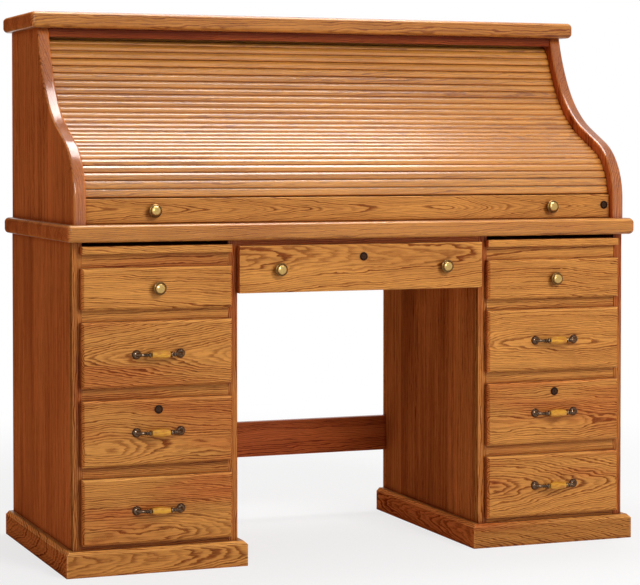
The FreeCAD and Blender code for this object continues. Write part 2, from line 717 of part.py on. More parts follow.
def make_hutch_sides():
    """The two S-shaped sides, with a bullnose along the whole front edge."""
    front = hutch_front_edge()
    top = path_end(front)
    top_back = Vector(0, BACK_Y, CAP_LOW)
    low_back = Vector(0, BACK_Y, TOP_HEIGHT)
    edges = [stretch.edge() for stretch in front]
    edges += [Part.makeLine(top, top_back), Part.makeLine(top_back, low_back),
              Part.makeLine(low_back, front[0].start)]
    outline = Part.Face(Part.Wire(edges))
    for name, side in SIDES:
        face = outline.translated(Vector(side * HUTCH_X, 0, 0))
        panel = face.extrude(Vector(-side * HUTCH_SIDE_THICK, 0, 0))
        rims = edges_where(panel, lambda box: box.XLength < HUTCH_EDGE_ROUND
                           and box.YMin < top.y - HUTCH_EDGE_ROUND
                           and box.ZLength > HUTCH_EDGE_ROUND)
        save("hutch_" + name + "_side", [panel.makeFillet(HUTCH_EDGE_ROUND, rims)])
    return top.y


def make_hutch_top(side_top_y):
    """The cap, hollow below so that the curtain can pass, and the header rail under its front."""
    front_y = side_top_y - CAP_OVERHANG
    cap = rounded_slab(CAP_WIDTH, (front_y, BACK_Y), (CAP_LOW, CAP_TOP), CAP_ROUND)
    header_y = side_top_y + HEADER_SET_BACK
    hollow = board((-HUTCH_INNER_X, HUTCH_INNER_X), (header_y + HEADER_THICK, BACK_Y - BACK_THICK),
                   (CAP_LOW, CAP_TOP - CAP_PANEL_THICK))
    save("hutch_top", [cap.cut(hollow)])
    inside = (-HUTCH_INNER_X, HUTCH_INNER_X)
    save("header_rail", [board(inside, (header_y, header_y + HEADER_THICK),
                               (CAP_LOW - HEADER_HEIGHT, CAP_LOW))])
    save("hutch_back", [board(inside, (BACK_Y - BACK_THICK, BACK_Y), (TOP_HEIGHT, CAP_LOW))])


def gallery_front():
    """The front of the pigeonholes, clear of the hollow of the canvas."""
    hollow = chain(roll_start(CANVAS_SET_BACK), roll_pieces(CANVAS_SET_BACK))
    return path_end(hollow).y + GALLERY_CANVAS_SPACE


def make_gallery():
    """Pigeonholes on the desk top: ends, dividers, a shelf, a lid and a back."""
    thick = GALLERY_BOARD
    back_y = BACK_Y - BACK_THICK - GALLERY_BEHIND_SPACE
    depth = (gallery_front(), back_y - GALLERY_BACK_THICK)
    half = GALLERY_WIDTH / 2
    shelf_low = TOP_HEIGHT + GALLERY_SHELF_HEIGHT
    lid_low = TOP_HEIGHT + GALLERY_HEIGHT - thick
    inside = (-half + thick, half - thick)
    boards = [board((-half, -half + thick), depth, (TOP_HEIGHT, lid_low)),
              board((half - thick, half), depth, (TOP_HEIGHT, lid_low)),
              board((-half, half), depth, (lid_low, lid_low + thick)),
              board(inside, depth, (shelf_low, shelf_low + thick)),
              board((-half, half), (back_y - GALLERY_BACK_THICK, back_y), (TOP_HEIGHT, lid_low + thick))]
    step = (GALLERY_WIDTH - thick) / GALLERY_COLUMNS
    for column in range(1, GALLERY_COLUMNS):
        left = -half + column * step
        boards.append(board((left, left + thick), depth, (TOP_HEIGHT, shelf_low)))
        boards.append(board((left, left + thick), depth, (shelf_low + thick, lid_low)))
    save("pigeonhole_gallery", boards)


def build():
    """Write every node of the desk."""
    os.makedirs("parts", exist_ok=True)
    make_desk_top()
    make_plinths()
    make_back_and_rails()
    make_runners()
    for name, side in SIDES:
        make_pedestal_shell(name, side)
        make_writing_board(name, side)
        for level in range(len(STACK)):
            make_pedestal_drawer(name, side, level)
    make_pencil_drawer()
    make_hutch_top(make_hutch_sides())
    make_gallery()
    make_lift_rail()
    make_tambour()


build()
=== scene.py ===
"""Dress a roll-top pedestal desk: lacquered red oak, a slatted curtain, knobs and bow pulls.

Every board is made from its solid in the frame, with softened arrises and its own place in the log,
so that the rings run through its faces and its ends. Metres, +Z up, in the frame's own axes.
"""

import json
import logging
import math
import random
from collections.abc import Callable, Iterable, Sequence
from dataclasses import dataclass, field, replace
from enum import Enum
from functools import cache

import bmesh
import bpy
import numpy as np
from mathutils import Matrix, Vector


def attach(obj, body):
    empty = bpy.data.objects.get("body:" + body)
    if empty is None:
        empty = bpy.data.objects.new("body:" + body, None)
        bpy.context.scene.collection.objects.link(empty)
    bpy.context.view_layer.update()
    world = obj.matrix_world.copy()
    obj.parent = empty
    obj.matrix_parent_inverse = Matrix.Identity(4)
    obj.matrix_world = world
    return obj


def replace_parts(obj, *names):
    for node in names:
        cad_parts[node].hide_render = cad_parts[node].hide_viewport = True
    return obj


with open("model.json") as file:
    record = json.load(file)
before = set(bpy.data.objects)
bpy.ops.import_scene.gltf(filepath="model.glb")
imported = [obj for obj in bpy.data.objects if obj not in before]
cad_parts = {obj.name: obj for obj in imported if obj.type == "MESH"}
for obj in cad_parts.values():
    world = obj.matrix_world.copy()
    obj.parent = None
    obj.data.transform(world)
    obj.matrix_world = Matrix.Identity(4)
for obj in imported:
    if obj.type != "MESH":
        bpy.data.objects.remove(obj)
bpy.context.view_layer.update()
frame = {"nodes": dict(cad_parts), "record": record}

LOG = logging.getLogger("roll_top_desk")
MM = 0.001
SIDES = ("left", "right")
PULL_DRAWERS = ("bottom", "third", "second")
UPRIGHT = 2  # the axis that upright boards run along
WHOLE_BOARD = 10.0  # a stave width that no board reaches
SATIN_FROM = 0.5  # faces that look this far to the side or back are satin
FLAT_AREA = 0.004  # the flat of a slat is larger than this, in square metres
FACING_ALIKE = 0.7  # a crowned normal goes only to faces within this cosine
END_FALLOFF = 1.5  # how fast end stain fades as a face turns away
SIDE_SHADE_FROM = 0.35  # where the painted side shade starts, by the X of a normal
SIDE_SHADE_SPAN = 0.6
SEED_RANGE = (0.0, 90.0)
TINY = 1e-12
GAP_REACH = 12 * MM
ARRIS_REACH = 3 * MM
AO_SAMPLES = 4
KNOB_SOLIDS = 3  # metal, button and screw
PULL_SOLIDS = 7  # the barrel, then a foot, an arm and a screw at each end
PULL_FEET = (1, 4)
PULL_SCREWS = (3, 6)

# How often the textures of the grain change in a metre, along the grain and across it.
FIBRES = (9.0, 330.0)
WANDER = (3.2, 11.0)
RIPPLES = (18.0, 70.0)
FLECKS = (30.0, 520.0)
CLOUDS = (2.3, 16.0)

# How staves differ, and how a year's ring goes from its dark line to pale wood.
STAVE_KEY = 3.17
STAVE_STRIDE = 1.37
STAVE_SPREAD = 1.6
RIPPLE_SHARE = 0.6
FIBRE_IN_RINGS = 0.55
RING_RISE = (0.0, 0.16)
RING_FALL = (0.22, 0.8)
FAINTEST_RING = 0.3
PORE_CUT = (0.5, 0.68)
PORES_BETWEEN_RINGS = 0.35

# What the stain makes of them.
NOISE_SPAN = (0.3, 0.7)  # where nearly all of a noise lies
CLOUD_DRIFT = (-0.12, 0.24)
FIBRE_SHADE = (0.88, 1.1)
PORE_SHADE = -0.4
TONE_IN_RINGS = 0.3
TONE_IN_SHADE = 0.12
RED_CLOUDS = (0.45, 0.65)
RED_TONES = (-0.3, 0.0)
REDDEST_PATCH = 0.6
PORE_DULLS = 0.12
LINE_DULLS = 0.06
PORE_HEIGHT = -0.6
LINE_HEIGHT = -0.4

# Which faces count as upper bevels for the painted highlight, by the height of their normals, and how
# closed in a place is for the painted gap shade.
BEVEL_FROM = (0.45, 0.6)
BEVEL_TO = (0.8, 0.95)
GAP_FROM = 0.35
ARRIS_FROM = 0.5
OPEN_FROM = 0.95

# How often metal's patina and grit change in a metre, and what they do.
PATINA_SCALE = 420.0
GRIT_SCALE = 2400.0
SHARP_EDGES = (0.49, 0.56)
STREAK_SPAN = (0.35, 0.7)
RUB_SHARE = 0.6
RUB_DULLS = -0.1
GRIT_DULLS = 0.2

Colour = tuple[float, float, float, float]
Point = tuple[float, float, float]
Socket = bpy.types.NodeSocket


def srgb(red: int, green: int, blue: int) -> Colour:
    """Turn a display colour into linear light.

    Args:
        red: Red in steps from 0 to 255.
        green: Green in the same steps.
        blue: Blue in the same steps.

    Returns:
        The colour in linear light, with full alpha.
    """
    steps = [step / 255 for step in (red, green, blue)]
    linear = [s / 12.92 if s <= 0.04045 else ((s + 0.055) / 1.055) ** 2.4 for s in steps]
    return (linear[0], linear[1], linear[2], 1.0)


class Graph:
    """Short calls that add and join the nodes of one shader tree."""

    def __init__(self, tree: bpy.types.NodeTree) -> None:
        """Keep the tree that the nodes go into."""
        self.tree = tree

    def add(self, kind: str, *values: object, **settings: object) -> bpy.types.Node:
        """Add a node.

        Args:
            kind: Blender's name of the node type.
            values: What its first inputs take, in their order.
            settings: Properties of the node to set.

        Returns:
            The new node.
        """
        node = self.tree.nodes.new(kind)
        for name, value in settings.items():
            setattr(node, name, value)
        for target, value in zip(node.inputs, values):
            self.feed(target, value)
        return node

    def feed(self, target: Socket, value: object) -> None:
        """Link an input to another node's output, or give it a constant.

        Args:
            target: The input to feed.
            value: An output socket, a number, a colour or a vector.
        """
        if isinstance(value, bpy.types.NodeSocket):
            self.tree.links.new(value, target)
        else:
            target.default_value = value

    def set_inputs(self, node: bpy.types.Node, **inputs: object) -> None:
        """Feed a node's inputs by their names, with underscores for spaces."""
        for name, value in inputs.items():
            self.feed(node.inputs[name.replace("_", " ")], value)

    def math(self, operation: str, *values: object, clamp: bool = False) -> Socket:
        """Combine one to three numbers, kept between 0 and 1 where asked."""
        return self.add("ShaderNodeMath", *values, operation=operation, use_clamp=clamp).outputs[0]

    def times(self, first: object, second: object) -> Socket:
        """Multiply two numbers."""
        return self.math("MULTIPLY", first, second)

    def scaled(self, value: object, factor: object, offset: object) -> Socket:
        """Multiply a number and add another."""
        return self.math("MULTIPLY_ADD", value, factor, offset)

    def less(self, value: object, amount: object) -> Socket:
        """Take a number from another."""
        return self.math("SUBTRACT", value, amount)

    def vector(self, operation: str, *values: object) -> Socket:
        """Combine vectors into another, or into a number where their length is asked for."""
        node = self.add("ShaderNodeVectorMath", *values, operation=operation)
        return node.outputs["Value" if operation == "LENGTH" else "Vector"]

    def split(self, vector: Socket) -> tuple[Socket, Socket, Socket]:
        """Give the three numbers of a vector."""
        return tuple(self.add("ShaderNodeSeparateXYZ", vector).outputs)

    def join(self, *values: object) -> Socket:
        """Make a vector of up to three numbers."""
        return self.add("ShaderNodeCombineXYZ", *values).outputs[0]

    def noise(self, place: Socket, detail: float = 2.0, scale: float = 1.0) -> bpy.types.NodeOutputs:
        """Add a cloud texture.

        Args:
            place: Where to read it, already stretched to its scale.
            detail: How many finer layers it has.
            scale: A factor on the place.

        Returns:
            A number and a colour.
        """
        node = self.add("ShaderNodeTexNoise")
        self.set_inputs(node, Vector=place, Scale=scale, Detail=detail)
        return node.outputs

    def chance(self, key: Socket) -> bpy.types.NodeOutputs:
        """Draw a random value and colour that depend on one number.

        Args:
            key: The number.

        Returns:
            The value and the colour.
        """
        node = self.add("ShaderNodeTexWhiteNoise", noise_dimensions="1D")
        self.set_inputs(node, W=key)
        return node.outputs

    def ease(self, value: object, low: float, high: float, start: float = 0.0,
             end: float = 1.0) -> Socket:
        """Go smoothly from start, which holds up to low, to end, which holds from high on."""
        return self.add("ShaderNodeMapRange", value, low, high, start, end,
                        interpolation_type="SMOOTHSTEP").outputs[0]

    def mix(self, share: object, first: object, second: object, blend: str = "MIX") -> Socket:
        """Blend two colours.

        Args:
            share: How much of the second, from 0 to 1.
            first: The first colour.
            second: The second colour.
            blend: Blender's name of the way to blend.

        Returns:
            The blended colour.
        """
        node = self.add("ShaderNodeMix", share, data_type="RGBA", blend_type=blend)
        self.feed(node.inputs[6], first)
        self.feed(node.inputs[7], second)
        return node.outputs[2]

    def tint(self, colour: object, factor: object) -> Socket:
        """Multiply two colours."""
        return self.mix(1.0, colour, factor, "MULTIPLY")

    def attribute(self, name: str, output: str = "Vector") -> Socket:
        """Read a value that the mesh carries."""
        return self.add("ShaderNodeAttribute", attribute_name=name).outputs[output]

    def place_group(self, tree: bpy.types.NodeTree, **inputs: object) -> dict[str, Socket]:
        """Place a node group.

        Args:
            tree: The group.
            inputs: Its inputs, with underscores for the spaces in their names.

        Returns:
            The group's outputs by name.
        """
        node = self.add("ShaderNodeGroup", node_tree=tree)
        self.set_inputs(node, **inputs)
        return dict(node.outputs.items())


class Kind(Enum):
    """The kinds of socket that the groups have."""

    NUMBER = "NodeSocketFloat"
    VECTOR = "NodeSocketVector"
    COLOUR = "NodeSocketColor"

    def of(self, *names: str) -> dict[str, "Kind"]:
        """Give this kind to some names."""
        return dict.fromkeys(names, self)


def new_group(name: str, inputs: dict[str, Kind], outputs: dict[str, Kind]
              ) -> tuple[Graph, dict[str, Socket], Callable[[str, object], None]]:
    """Start a shader node group.

    Args:
        name: The group's name.
        inputs: The names and kinds of its inputs.
        outputs: The names and kinds of its outputs.

    Returns:
        The graph inside it, its inputs by name, and a call that feeds one of its outputs.
    """
    tree = bpy.data.node_groups.new(name, "ShaderNodeTree")
    for label, kind in inputs.items():
        tree.interface.new_socket(label, in_out="INPUT", socket_type=kind.value)
    for label, kind in outputs.items():
        tree.interface.new_socket(label, in_out="OUTPUT", socket_type=kind.value)
    graph = Graph(tree)
    source = graph.add("NodeGroupInput")
    result = graph.add("NodeGroupOutput")
    return graph, {label: source.outputs[label] for label in inputs}, \
        lambda label, value: graph.feed(result.inputs[label], value)


@cache
def staves_group() -> bpy.types.NodeTree:
    """Build the group that splits a wide panel into staves, each from another place in the log.

    Returns:
        The group.
    """
    graph, given, give = new_group(
        "glued_staves",
        Kind.VECTOR.of("Grain", "Pith") | Kind.NUMBER.of("Seed", "Width"),
        Kind.VECTOR.of("Grain", "Pith") | Kind.NUMBER.of("Seed", "Tone"))
    along, across, depth = graph.split(given["Grain"])
    index = graph.math("FLOOR", graph.math("ADD", graph.math("DIVIDE", across, given["Width"]), 0.5))
    local = graph.less(across, graph.times(index, given["Width"]))
    chance = graph.chance(graph.scaled(index, STAVE_KEY, given["Seed"]))
    first, second, third = graph.split(chance["Color"])
    staved = graph.math("LESS_THAN", given["Width"], 1.0)
    spread = graph.times(staved, given["Width"])
    pith_across, pith_depth, lean = graph.split(given["Pith"])
    off_centre = graph.times(graph.less(first, 0.5), spread)
    deeper = graph.times(graph.less(second, 0.3), spread)
    turned = graph.times(staved, graph.math("ROUND", third))
    turn = graph.scaled(turned, -2.0, 1.0)
    give("Grain", graph.join(along, local, depth))
    give("Pith", graph.join(graph.scaled(off_centre, STAVE_SPREAD, pith_across),
                            graph.math("ADD", pith_depth, deeper), graph.times(lean, turn)))
    give("Seed", graph.scaled(index, STAVE_STRIDE, given["Seed"]))
    give("Tone", graph.times(graph.less(third, 0.5), staved))
    return graph.tree


@cache
def rings_group() -> bpy.types.NodeTree:
    """Build the group that draws growth rings, fibres and pores round a leaning pith.

    Returns:
        The group.
    """
    graph, given, give = new_group(
        "oak_rings",
        Kind.VECTOR.of("Grain", "Pith", "Sweep")
        | Kind.NUMBER.of("Seed", "Ring Width", "Waviness", "Pore Size"),
        Kind.NUMBER.of("Line", "Fibre", "Pore", "Cloud"))
    seed = given["Seed"]
    shift = graph.join(seed, graph.times(seed, 1.7), graph.times(seed, 0.6))

    def stretched(scales: tuple[float, float]) -> Socket:
        """Stretch the grain's place along and across, away from other boards."""
        place = graph.vector("MULTIPLY", given["Grain"], (scales[0], scales[1], scales[1]))
        return graph.vector("ADD", place, shift)

    along, across, depth = graph.split(given["Grain"])
    pith_across, pith_depth, lean = graph.split(given["Pith"])
    fibre = graph.noise(stretched(FIBRES))["Fac"]
    wander = graph.noise(stretched(WANDER))["Color"]
    waves = given["Waviness"]
    bend = graph.vector("MULTIPLY", graph.vector("SUBTRACT", wander, (0.5, 0.5, 0.5)),
                        graph.join(waves, waves, waves))
    ripple = graph.less(graph.noise(stretched(RIPPLES), detail=3.0)["Fac"], 0.5)
    bend_across, bend_depth, bend_along = graph.split(bend)
    beside = graph.math("ADD", graph.less(across, pith_across), bend_across)
    below = graph.math("ADD", graph.math("ADD", depth, pith_depth), bend_depth)
    radius = graph.vector("LENGTH", graph.join(beside, below))
    radius = graph.math("ADD", graph.scaled(along, lean, radius), bend_along)
    radius = graph.math("ADD", radius, graph.times(ripple, graph.times(waves, RIPPLE_SHARE)))
    bow, bow_middle, reach = graph.split(given["Sweep"])
    square = graph.math("POWER", graph.less(along, bow_middle), 2.0)
    flatter = graph.math("ADD", 1.0, graph.math("DIVIDE", square, graph.math("POWER", reach, 2.0)))
    radius = graph.scaled(graph.math("DIVIDE", square, flatter), bow, radius)
    phase = graph.math("DIVIDE", radius, given["Ring Width"])
    phase = graph.scaled(graph.less(fibre, 0.5), FIBRE_IN_RINGS, phase)
    part = graph.math("FRACT", phase)
    year = graph.chance(graph.math("ADD", graph.math("FLOOR", phase), seed))["Value"]
    line = graph.times(graph.ease(part, *RING_RISE), graph.ease(part, *RING_FALL, 1.0, 0.0))
    line = graph.times(line, graph.ease(year, 0.0, 1.0, FAINTEST_RING, 1.0))
    finer = graph.math("DIVIDE", 1.0, given["Pore Size"])
    flecks = graph.vector("MULTIPLY", stretched(FLECKS), graph.join(finer, finer, finer))
    flecks = graph.ease(graph.noise(flecks)["Fac"], *PORE_CUT)
    open_wood = graph.scaled(line, 1.0 - PORES_BETWEEN_RINGS, PORES_BETWEEN_RINGS)
    give("Line", line)
    give("Fibre", fibre)
    give("Pore", graph.times(flecks, open_wood))
    give("Cloud", graph.noise(stretched(CLOUDS))["Fac"])
    return graph.tree


@cache
def stain_group() -> bpy.types.NodeTree:
    """Build the group that turns rings, stain and painted shade into colour, gloss and a slight
    relief.

    Returns:
        The group.
    """
    graph, given, give = new_group(
        "stained_grain",
        Kind.NUMBER.of("Line", "Fibre", "Pore", "Cloud", "Tone", "Dye", "Contrast", "Base Roughness")
        | Kind.COLOUR.of("Pale", "Dark", "Dye Colour"),
        Kind.COLOUR.of("Color") | Kind.NUMBER.of("Roughness", "Height"))
    drift = graph.ease(given["Cloud"], *NOISE_SPAN, *CLOUD_DRIFT)
    share = graph.math("ADD", graph.times(given["Line"], given["Contrast"]), drift)
    share = graph.math("SUBTRACT", share, graph.times(given["Tone"], TONE_IN_RINGS), clamp=True)
    colour = graph.mix(share, given["Pale"], given["Dark"])
    streak = graph.ease(given["Fibre"], *NOISE_SPAN, *FIBRE_SHADE)
    shade = graph.times(streak, graph.scaled(given["Pore"], PORE_SHADE, 1.0))
    shade = graph.times(shade, graph.scaled(given["Tone"], TONE_IN_SHADE, 1.0))
    colour = graph.tint(colour, graph.join(shade, shade, shade))
    patch = graph.times(graph.ease(given["Cloud"], *RED_CLOUDS),
                        graph.ease(given["Tone"], *RED_TONES, REDDEST_PATCH, 0.0))
    # The deep colour goes where the board takes deep stain or painted shade, and in red patches.
    give("Color", graph.mix(graph.math("MAXIMUM", given["Dye"], patch), colour,
                            graph.tint(colour, given["Dye Colour"])))
    dull = graph.scaled(given["Pore"], PORE_DULLS, given["Base Roughness"])
    give("Roughness", graph.scaled(given["Line"], LINE_DULLS, dull))
    pits = graph.times(given["Pore"], PORE_HEIGHT)
    give("Height", graph.scaled(given["Line"], LINE_HEIGHT, pits))
    return graph.tree


@cache
def shade_and_wear_group() -> bpy.types.NodeTree:
    """Build the group that paints shade into the gaps between boards and a highlight on upper bevels,
    and makes arrises pale as worn edges and as a painted highlight.

    Returns:
        The group.
    """
    graph, given, give = new_group(
        "painted_light_and_edge_wear",
        Kind.COLOUR.of("Color", "Stain", "Bevel", "Rub") | Kind.NUMBER.of("Gap", "Arris"),
        Kind.COLOUR.of("Color"))

    def closed_in(reach: Socket, start: float, **settings: object) -> Socket:
        """Give 1 where surfaces stand close round a place, within a reach."""
        node = graph.add("ShaderNodeAmbientOcclusion", samples=AO_SAMPLES, **settings)
        graph.set_inputs(node, Distance=reach)
        return graph.ease(node.outputs["AO"], start, OPEN_FROM, 1.0, 0.0)

    # Painted highlight: faces that turn partly upward, such as the top bevels of drawer fronts, are
    # made paler.
    upward = graph.split(graph.add("ShaderNodeNewGeometry").outputs["Normal"])[2]
    bevel = graph.times(graph.ease(upward, *BEVEL_FROM), graph.ease(upward, *BEVEL_TO, 1.0, 0.0))
    colour = graph.mix(bevel, given["Color"], graph.tint(given["Color"], given["Bevel"]))
    # Painted shade: places closed in by nearby surfaces, round drawer fronts and between slats, are
    # darkened.
    gap_shade_mask = closed_in(given["Gap"], GAP_FROM)
    colour = graph.mix(gap_shade_mask, colour, graph.tint(colour, given["Stain"]))
    # Convex arrises are made paler, partly as worn edges and partly as a painted highlight.
    arris = closed_in(given["Arris"], ARRIS_FROM, inside=True, only_local=True)
    give("Color", graph.mix(arris, colour, graph.tint(colour, given["Rub"])))
    return graph.tree


@cache
def patina_group() -> bpy.types.NodeTree:
    """Build the group that leaves old metal dark in its hollows and bright on its high spots.

    Returns:
        The group.
    """
    graph, given, give = new_group(
        "rubbed_patina",
        Kind.COLOUR.of("Bright", "Dark") | Kind.NUMBER.of("Wear", "Base Roughness"),
        Kind.COLOUR.of("Color") | Kind.NUMBER.of("Roughness", "Height"))
    place = graph.add("ShaderNodeTexCoord").outputs["Object"]
    cloud = graph.noise(place, detail=3.0, scale=PATINA_SCALE)["Fac"]
    grit = graph.noise(place, scale=GRIT_SCALE)["Fac"]
    edge = graph.ease(graph.add("ShaderNodeNewGeometry").outputs["Pointiness"], *SHARP_EDGES)
    rubbed = graph.math("ADD", graph.times(edge, RUB_SHARE),
                        graph.ease(cloud, *STREAK_SPAN, 0.0, RUB_SHARE))
    rubbed = graph.math("MULTIPLY", rubbed, given["Wear"], clamp=True)
    give("Color", graph.mix(rubbed, given["Dark"], given["Bright"]))
    dull = graph.scaled(graph.less(grit, 0.5), GRIT_DULLS, given["Base Roughness"])
    give("Roughness", graph.scaled(rubbed, RUB_DULLS, dull))
    give("Height", grit)
    return graph.tree


def new_material(name: str) -> tuple[bpy.types.Material, Graph, bpy.types.Node]:
    """Start a material.

    Args:
        name: Its name.

    Returns:
        The material, the graph of its nodes and its shader.
    """
    material = bpy.data.materials.new(name)
    material.use_nodes = True
    return material, Graph(material.node_tree), material.node_tree.nodes["Principled BSDF"]


def relief(graph: Graph, shader: bpy.types.Node, height: Socket, distance: float,
           strength: float) -> None:
    """Give a shader a slight relief.

    Args:
        graph: The material's nodes.
        shader: The shader that takes the relief.
        height: The height of the surface, in parts of the distance.
        distance: What a height of 1 is, in metres.
        strength: How much of it shows.
    """
    bump = graph.add("ShaderNodeBump")
    graph.set_inputs(bump, Strength=strength, Distance=distance, Height=height)
    graph.set_inputs(shader, Normal=bump.outputs["Normal"])


@dataclass(frozen=True)
class WoodFinish:
    """A stained wood with its lacquer."""

    name: str
    slot: str
    pale: Colour
    dark: Colour
    dye_and_shade: Colour
    ring_width: float
    waviness: float
    contrast: float
    roughness: float
    specular: float
    # painted shade in gaps and corners
    gap_shade: Colour = (0.6, 0.4, 0.35, 1.0)
    # painted highlight on upward-facing bevels
    bevel: Colour = (1.5, 1.65, 1.9, 1.0)
    # paler arrises: wear, and a painted highlight
    rub_and_highlight: Colour = (1.2, 1.3, 1.4, 1.0)
    pore_size: float = 1.0
    pore_depth: float = 0.15 * MM
    pore_strength: float = 0.35

    def material(self) -> bpy.types.Material:
        """Build the material, which reads each board's place in the log from its mesh.

        Returns:
            The new material.
        """
        material, graph, shader = new_material(self.name)
        tone, seed, width = graph.split(graph.attribute("board"))
        stave = graph.place_group(
            staves_group(), Grain=graph.attribute("grain"), Pith=graph.attribute("pith"), Seed=seed,
            Width=width)
        tone = graph.math("ADD", tone, stave.pop("Tone"))
        rings = graph.place_group(
            rings_group(), **stave, Sweep=graph.attribute("sweep"), Ring_Width=self.ring_width,
            Waviness=self.waviness, Pore_Size=self.pore_size)
        # The deep colour's share, read from the mesh, holds end-grain stain and painted shade.
        stain = graph.place_group(
            stain_group(), **rings, Tone=tone, Dye=graph.attribute("dye_and_shade", "Fac"),
            Contrast=self.contrast, Pale=self.pale, Dark=self.dark, Dye_Colour=self.dye_and_shade,
            Base_Roughness=self.roughness)
        # Painted shade in gaps, a painted highlight on upper bevels, and paler arrises that are partly
        # wear and partly painted highlight.
        shaded_and_worn = graph.place_group(
            shade_and_wear_group(), Color=stain["Color"], Stain=self.gap_shade, Bevel=self.bevel, Rub=self.rub_and_highlight,
            Gap=GAP_REACH, Arris=ARRIS_REACH)
        graph.set_inputs(shader, Base_Color=shaded_and_worn["Color"], Roughness=stain["Roughness"],
                         Specular_IOR_Level=self.specular)
        relief(graph, shader, stain["Height"], self.pore_depth, self.pore_strength)
        return material


@dataclass(frozen=True)
class MetalFinish:
    """A metal with an old, rubbed surface."""

    name: str
    slot: str
    bright: Colour
    dark: Colour
    wear: float
    roughness: float
    grit_depth: float = 0.02 * MM
    grit_strength: float = 0.2

    def material(self) -> bpy.types.Material:
        """Build the material.

        Returns:
            The new material.
        """
        material, graph, shader = new_material(self.name)
        patina = graph.place_group(patina_group(), Bright=self.bright, Dark=self.dark, Wear=self.wear,
                                   Base_Roughness=self.roughness)
        graph.set_inputs(shader, Metallic=1.0, Base_Color=patina["Color"],
                         Roughness=patina["Roughness"])
        relief(graph, shader, patina["Height"], self.grit_depth, self.grit_strength)
        return material


@dataclass(frozen=True)
class GlazeFinish:
    """A fired glaze whose colour pools in streaks along the piece."""

    name: str
    slot: str
    pale: Colour
    deep: Colour
    roughness: float
    streaks: Point = (60.0, 260.0, 260.0)
    pool_dulls: float = 0.1
    coat: float = 0.12
    coat_roughness: float = 0.05

    def material(self) -> bpy.types.Material:
        """Build the material.

        Returns:
            The new material.
        """
        material, graph, shader = new_material(self.name)
        place = graph.add("ShaderNodeTexCoord").outputs["Object"]
        streaks = graph.noise(graph.vector("MULTIPLY", place, self.streaks), detail=3.0)
        share = graph.ease(streaks["Fac"], *STREAK_SPAN)
        dull = graph.ease(share, 0.0, 1.0, self.roughness, self.roughness + self.pool_dulls)
        graph.set_inputs(shader, Base_Color=graph.mix(share, self.pale, self.deep), Roughness=dull,
                         Coat_Weight=self.coat, Coat_Roughness=self.coat_roughness)
        return material


@dataclass(frozen=True)
class ClothFinish:
    """A plain woven cotton canvas."""

    name: str
    slot: str
    pale: Colour
    deep: Colour
    thread: float
    roughness: float = 0.9
    weave_depth: float = 0.2 * MM
    weave_strength: float = 0.5

    def material(self) -> bpy.types.Material:
        """Build the material, with a weave that crosses in X and in height.

        Returns:
            The new material.
        """
        material, graph, shader = new_material(self.name)
        x, y, z = graph.split(graph.add("ShaderNodeTexCoord").outputs["Object"])
        turns = math.tau / self.thread
        warp = graph.math("SINE", graph.times(x, turns))
        weft = graph.math("SINE", graph.times(graph.math("ADD", y, z), turns))
        weave = graph.scaled(graph.times(warp, weft), 0.5, 0.5)
        graph.set_inputs(shader, Base_Color=graph.mix(weave, self.deep, self.pale),
                         Roughness=self.roughness)
        relief(graph, shader, weave, self.weave_depth, self.weave_strength)
        return material


Finish = WoodFinish | MetalFinish | GlazeFinish | ClothFinish
PLAIN: Colour = (1.0, 1.0, 1.0, 1.0)
# The deep colour serves both for stain soaked into end grain and for painted shade on sides and shaded
# boards.
OAK = WoodFinish(
    "lacquered_oak", "oak", pale=srgb(197, 133, 65), dark=srgb(118, 56, 17), dye_and_shade=(1.1, 0.58, 0.6, 1.0),
    ring_width=3.9 * MM, waviness=0.016, contrast=0.95, roughness=0.3, specular=0.1)
# The slats take a lighter painted gap shade and no painted bevel highlight.
GLOSSY_OAK = replace(
    OAK, name="glossy_oak", pale=srgb(197, 132, 60), contrast=0.6, roughness=0.25, specular=0.65,
    gap_shade=(0.85, 0.65, 0.55, 1.0), bevel=PLAIN, rub_and_highlight=(1.1, 1.15, 1.2, 1.0))
EDGED_OAK = replace(OAK, name="edged_oak", pale=srgb(188, 124, 59), roughness=0.24, specular=0.25)
POLISHED_OAK = replace(
    OAK, name="polished_oak", pale=srgb(172, 106, 51), roughness=0.16, specular=0.5, bevel=PLAIN)
SATIN_OAK = replace(OAK, name="satin_oak", roughness=0.5, specular=0.0, pore_size=2.6)
DRAWER_WOOD = WoodFinish(
    "drawer_wood", "drawer_wood", pale=srgb(224, 199, 156), dark=srgb(186, 148, 98),
    dye_and_shade=(0.8, 0.7, 0.6, 1.0), ring_width=7.0 * MM, waviness=0.012, contrast=0.5, roughness=0.5,
    specular=0.1)
BRONZE = MetalFinish(
    "antique_bronze", "antique_bronze", bright=srgb(124, 100, 78), dark=srgb(42, 30, 22), wear=0.9,
    roughness=0.2)
BRASS = MetalFinish(
    "antique_brass", "antique_brass", bright=srgb(150, 116, 66), dark=srgb(78, 54, 30), wear=0.8,
    roughness=0.36)
BUTTON = MetalFinish(
    "polished_brass", "antique_brass", bright=srgb(216, 184, 116), dark=srgb(178, 142, 80), wear=1.0,
    roughness=0.32)
LOCK_METAL = MetalFinish(
    "blackened_bronze", "antique_bronze", bright=srgb(62, 44, 34), dark=srgb(26, 17, 13), wear=0.6,
    roughness=0.5)
LOCK_FACE = replace(LOCK_METAL, name="worn_bronze", bright=srgb(88, 60, 43), dark=srgb(44, 28, 20))
GLAZE = GlazeFinish(
    "amber_glaze", "ceramic", pale=srgb(206, 146, 20), deep=srgb(172, 104, 8), roughness=0.36)
CANVAS = ClothFinish(
    "cotton_canvas", "drawer_wood", pale=srgb(196, 178, 142), deep=srgb(150, 128, 92), thread=1.6 * MM)


@cache
def material_of(finish: Finish) -> bpy.types.Material:
    """Give a finish's material, built once."""
    return finish.material()


NO_SWEEP = (0.0, 0.0, 1.0)


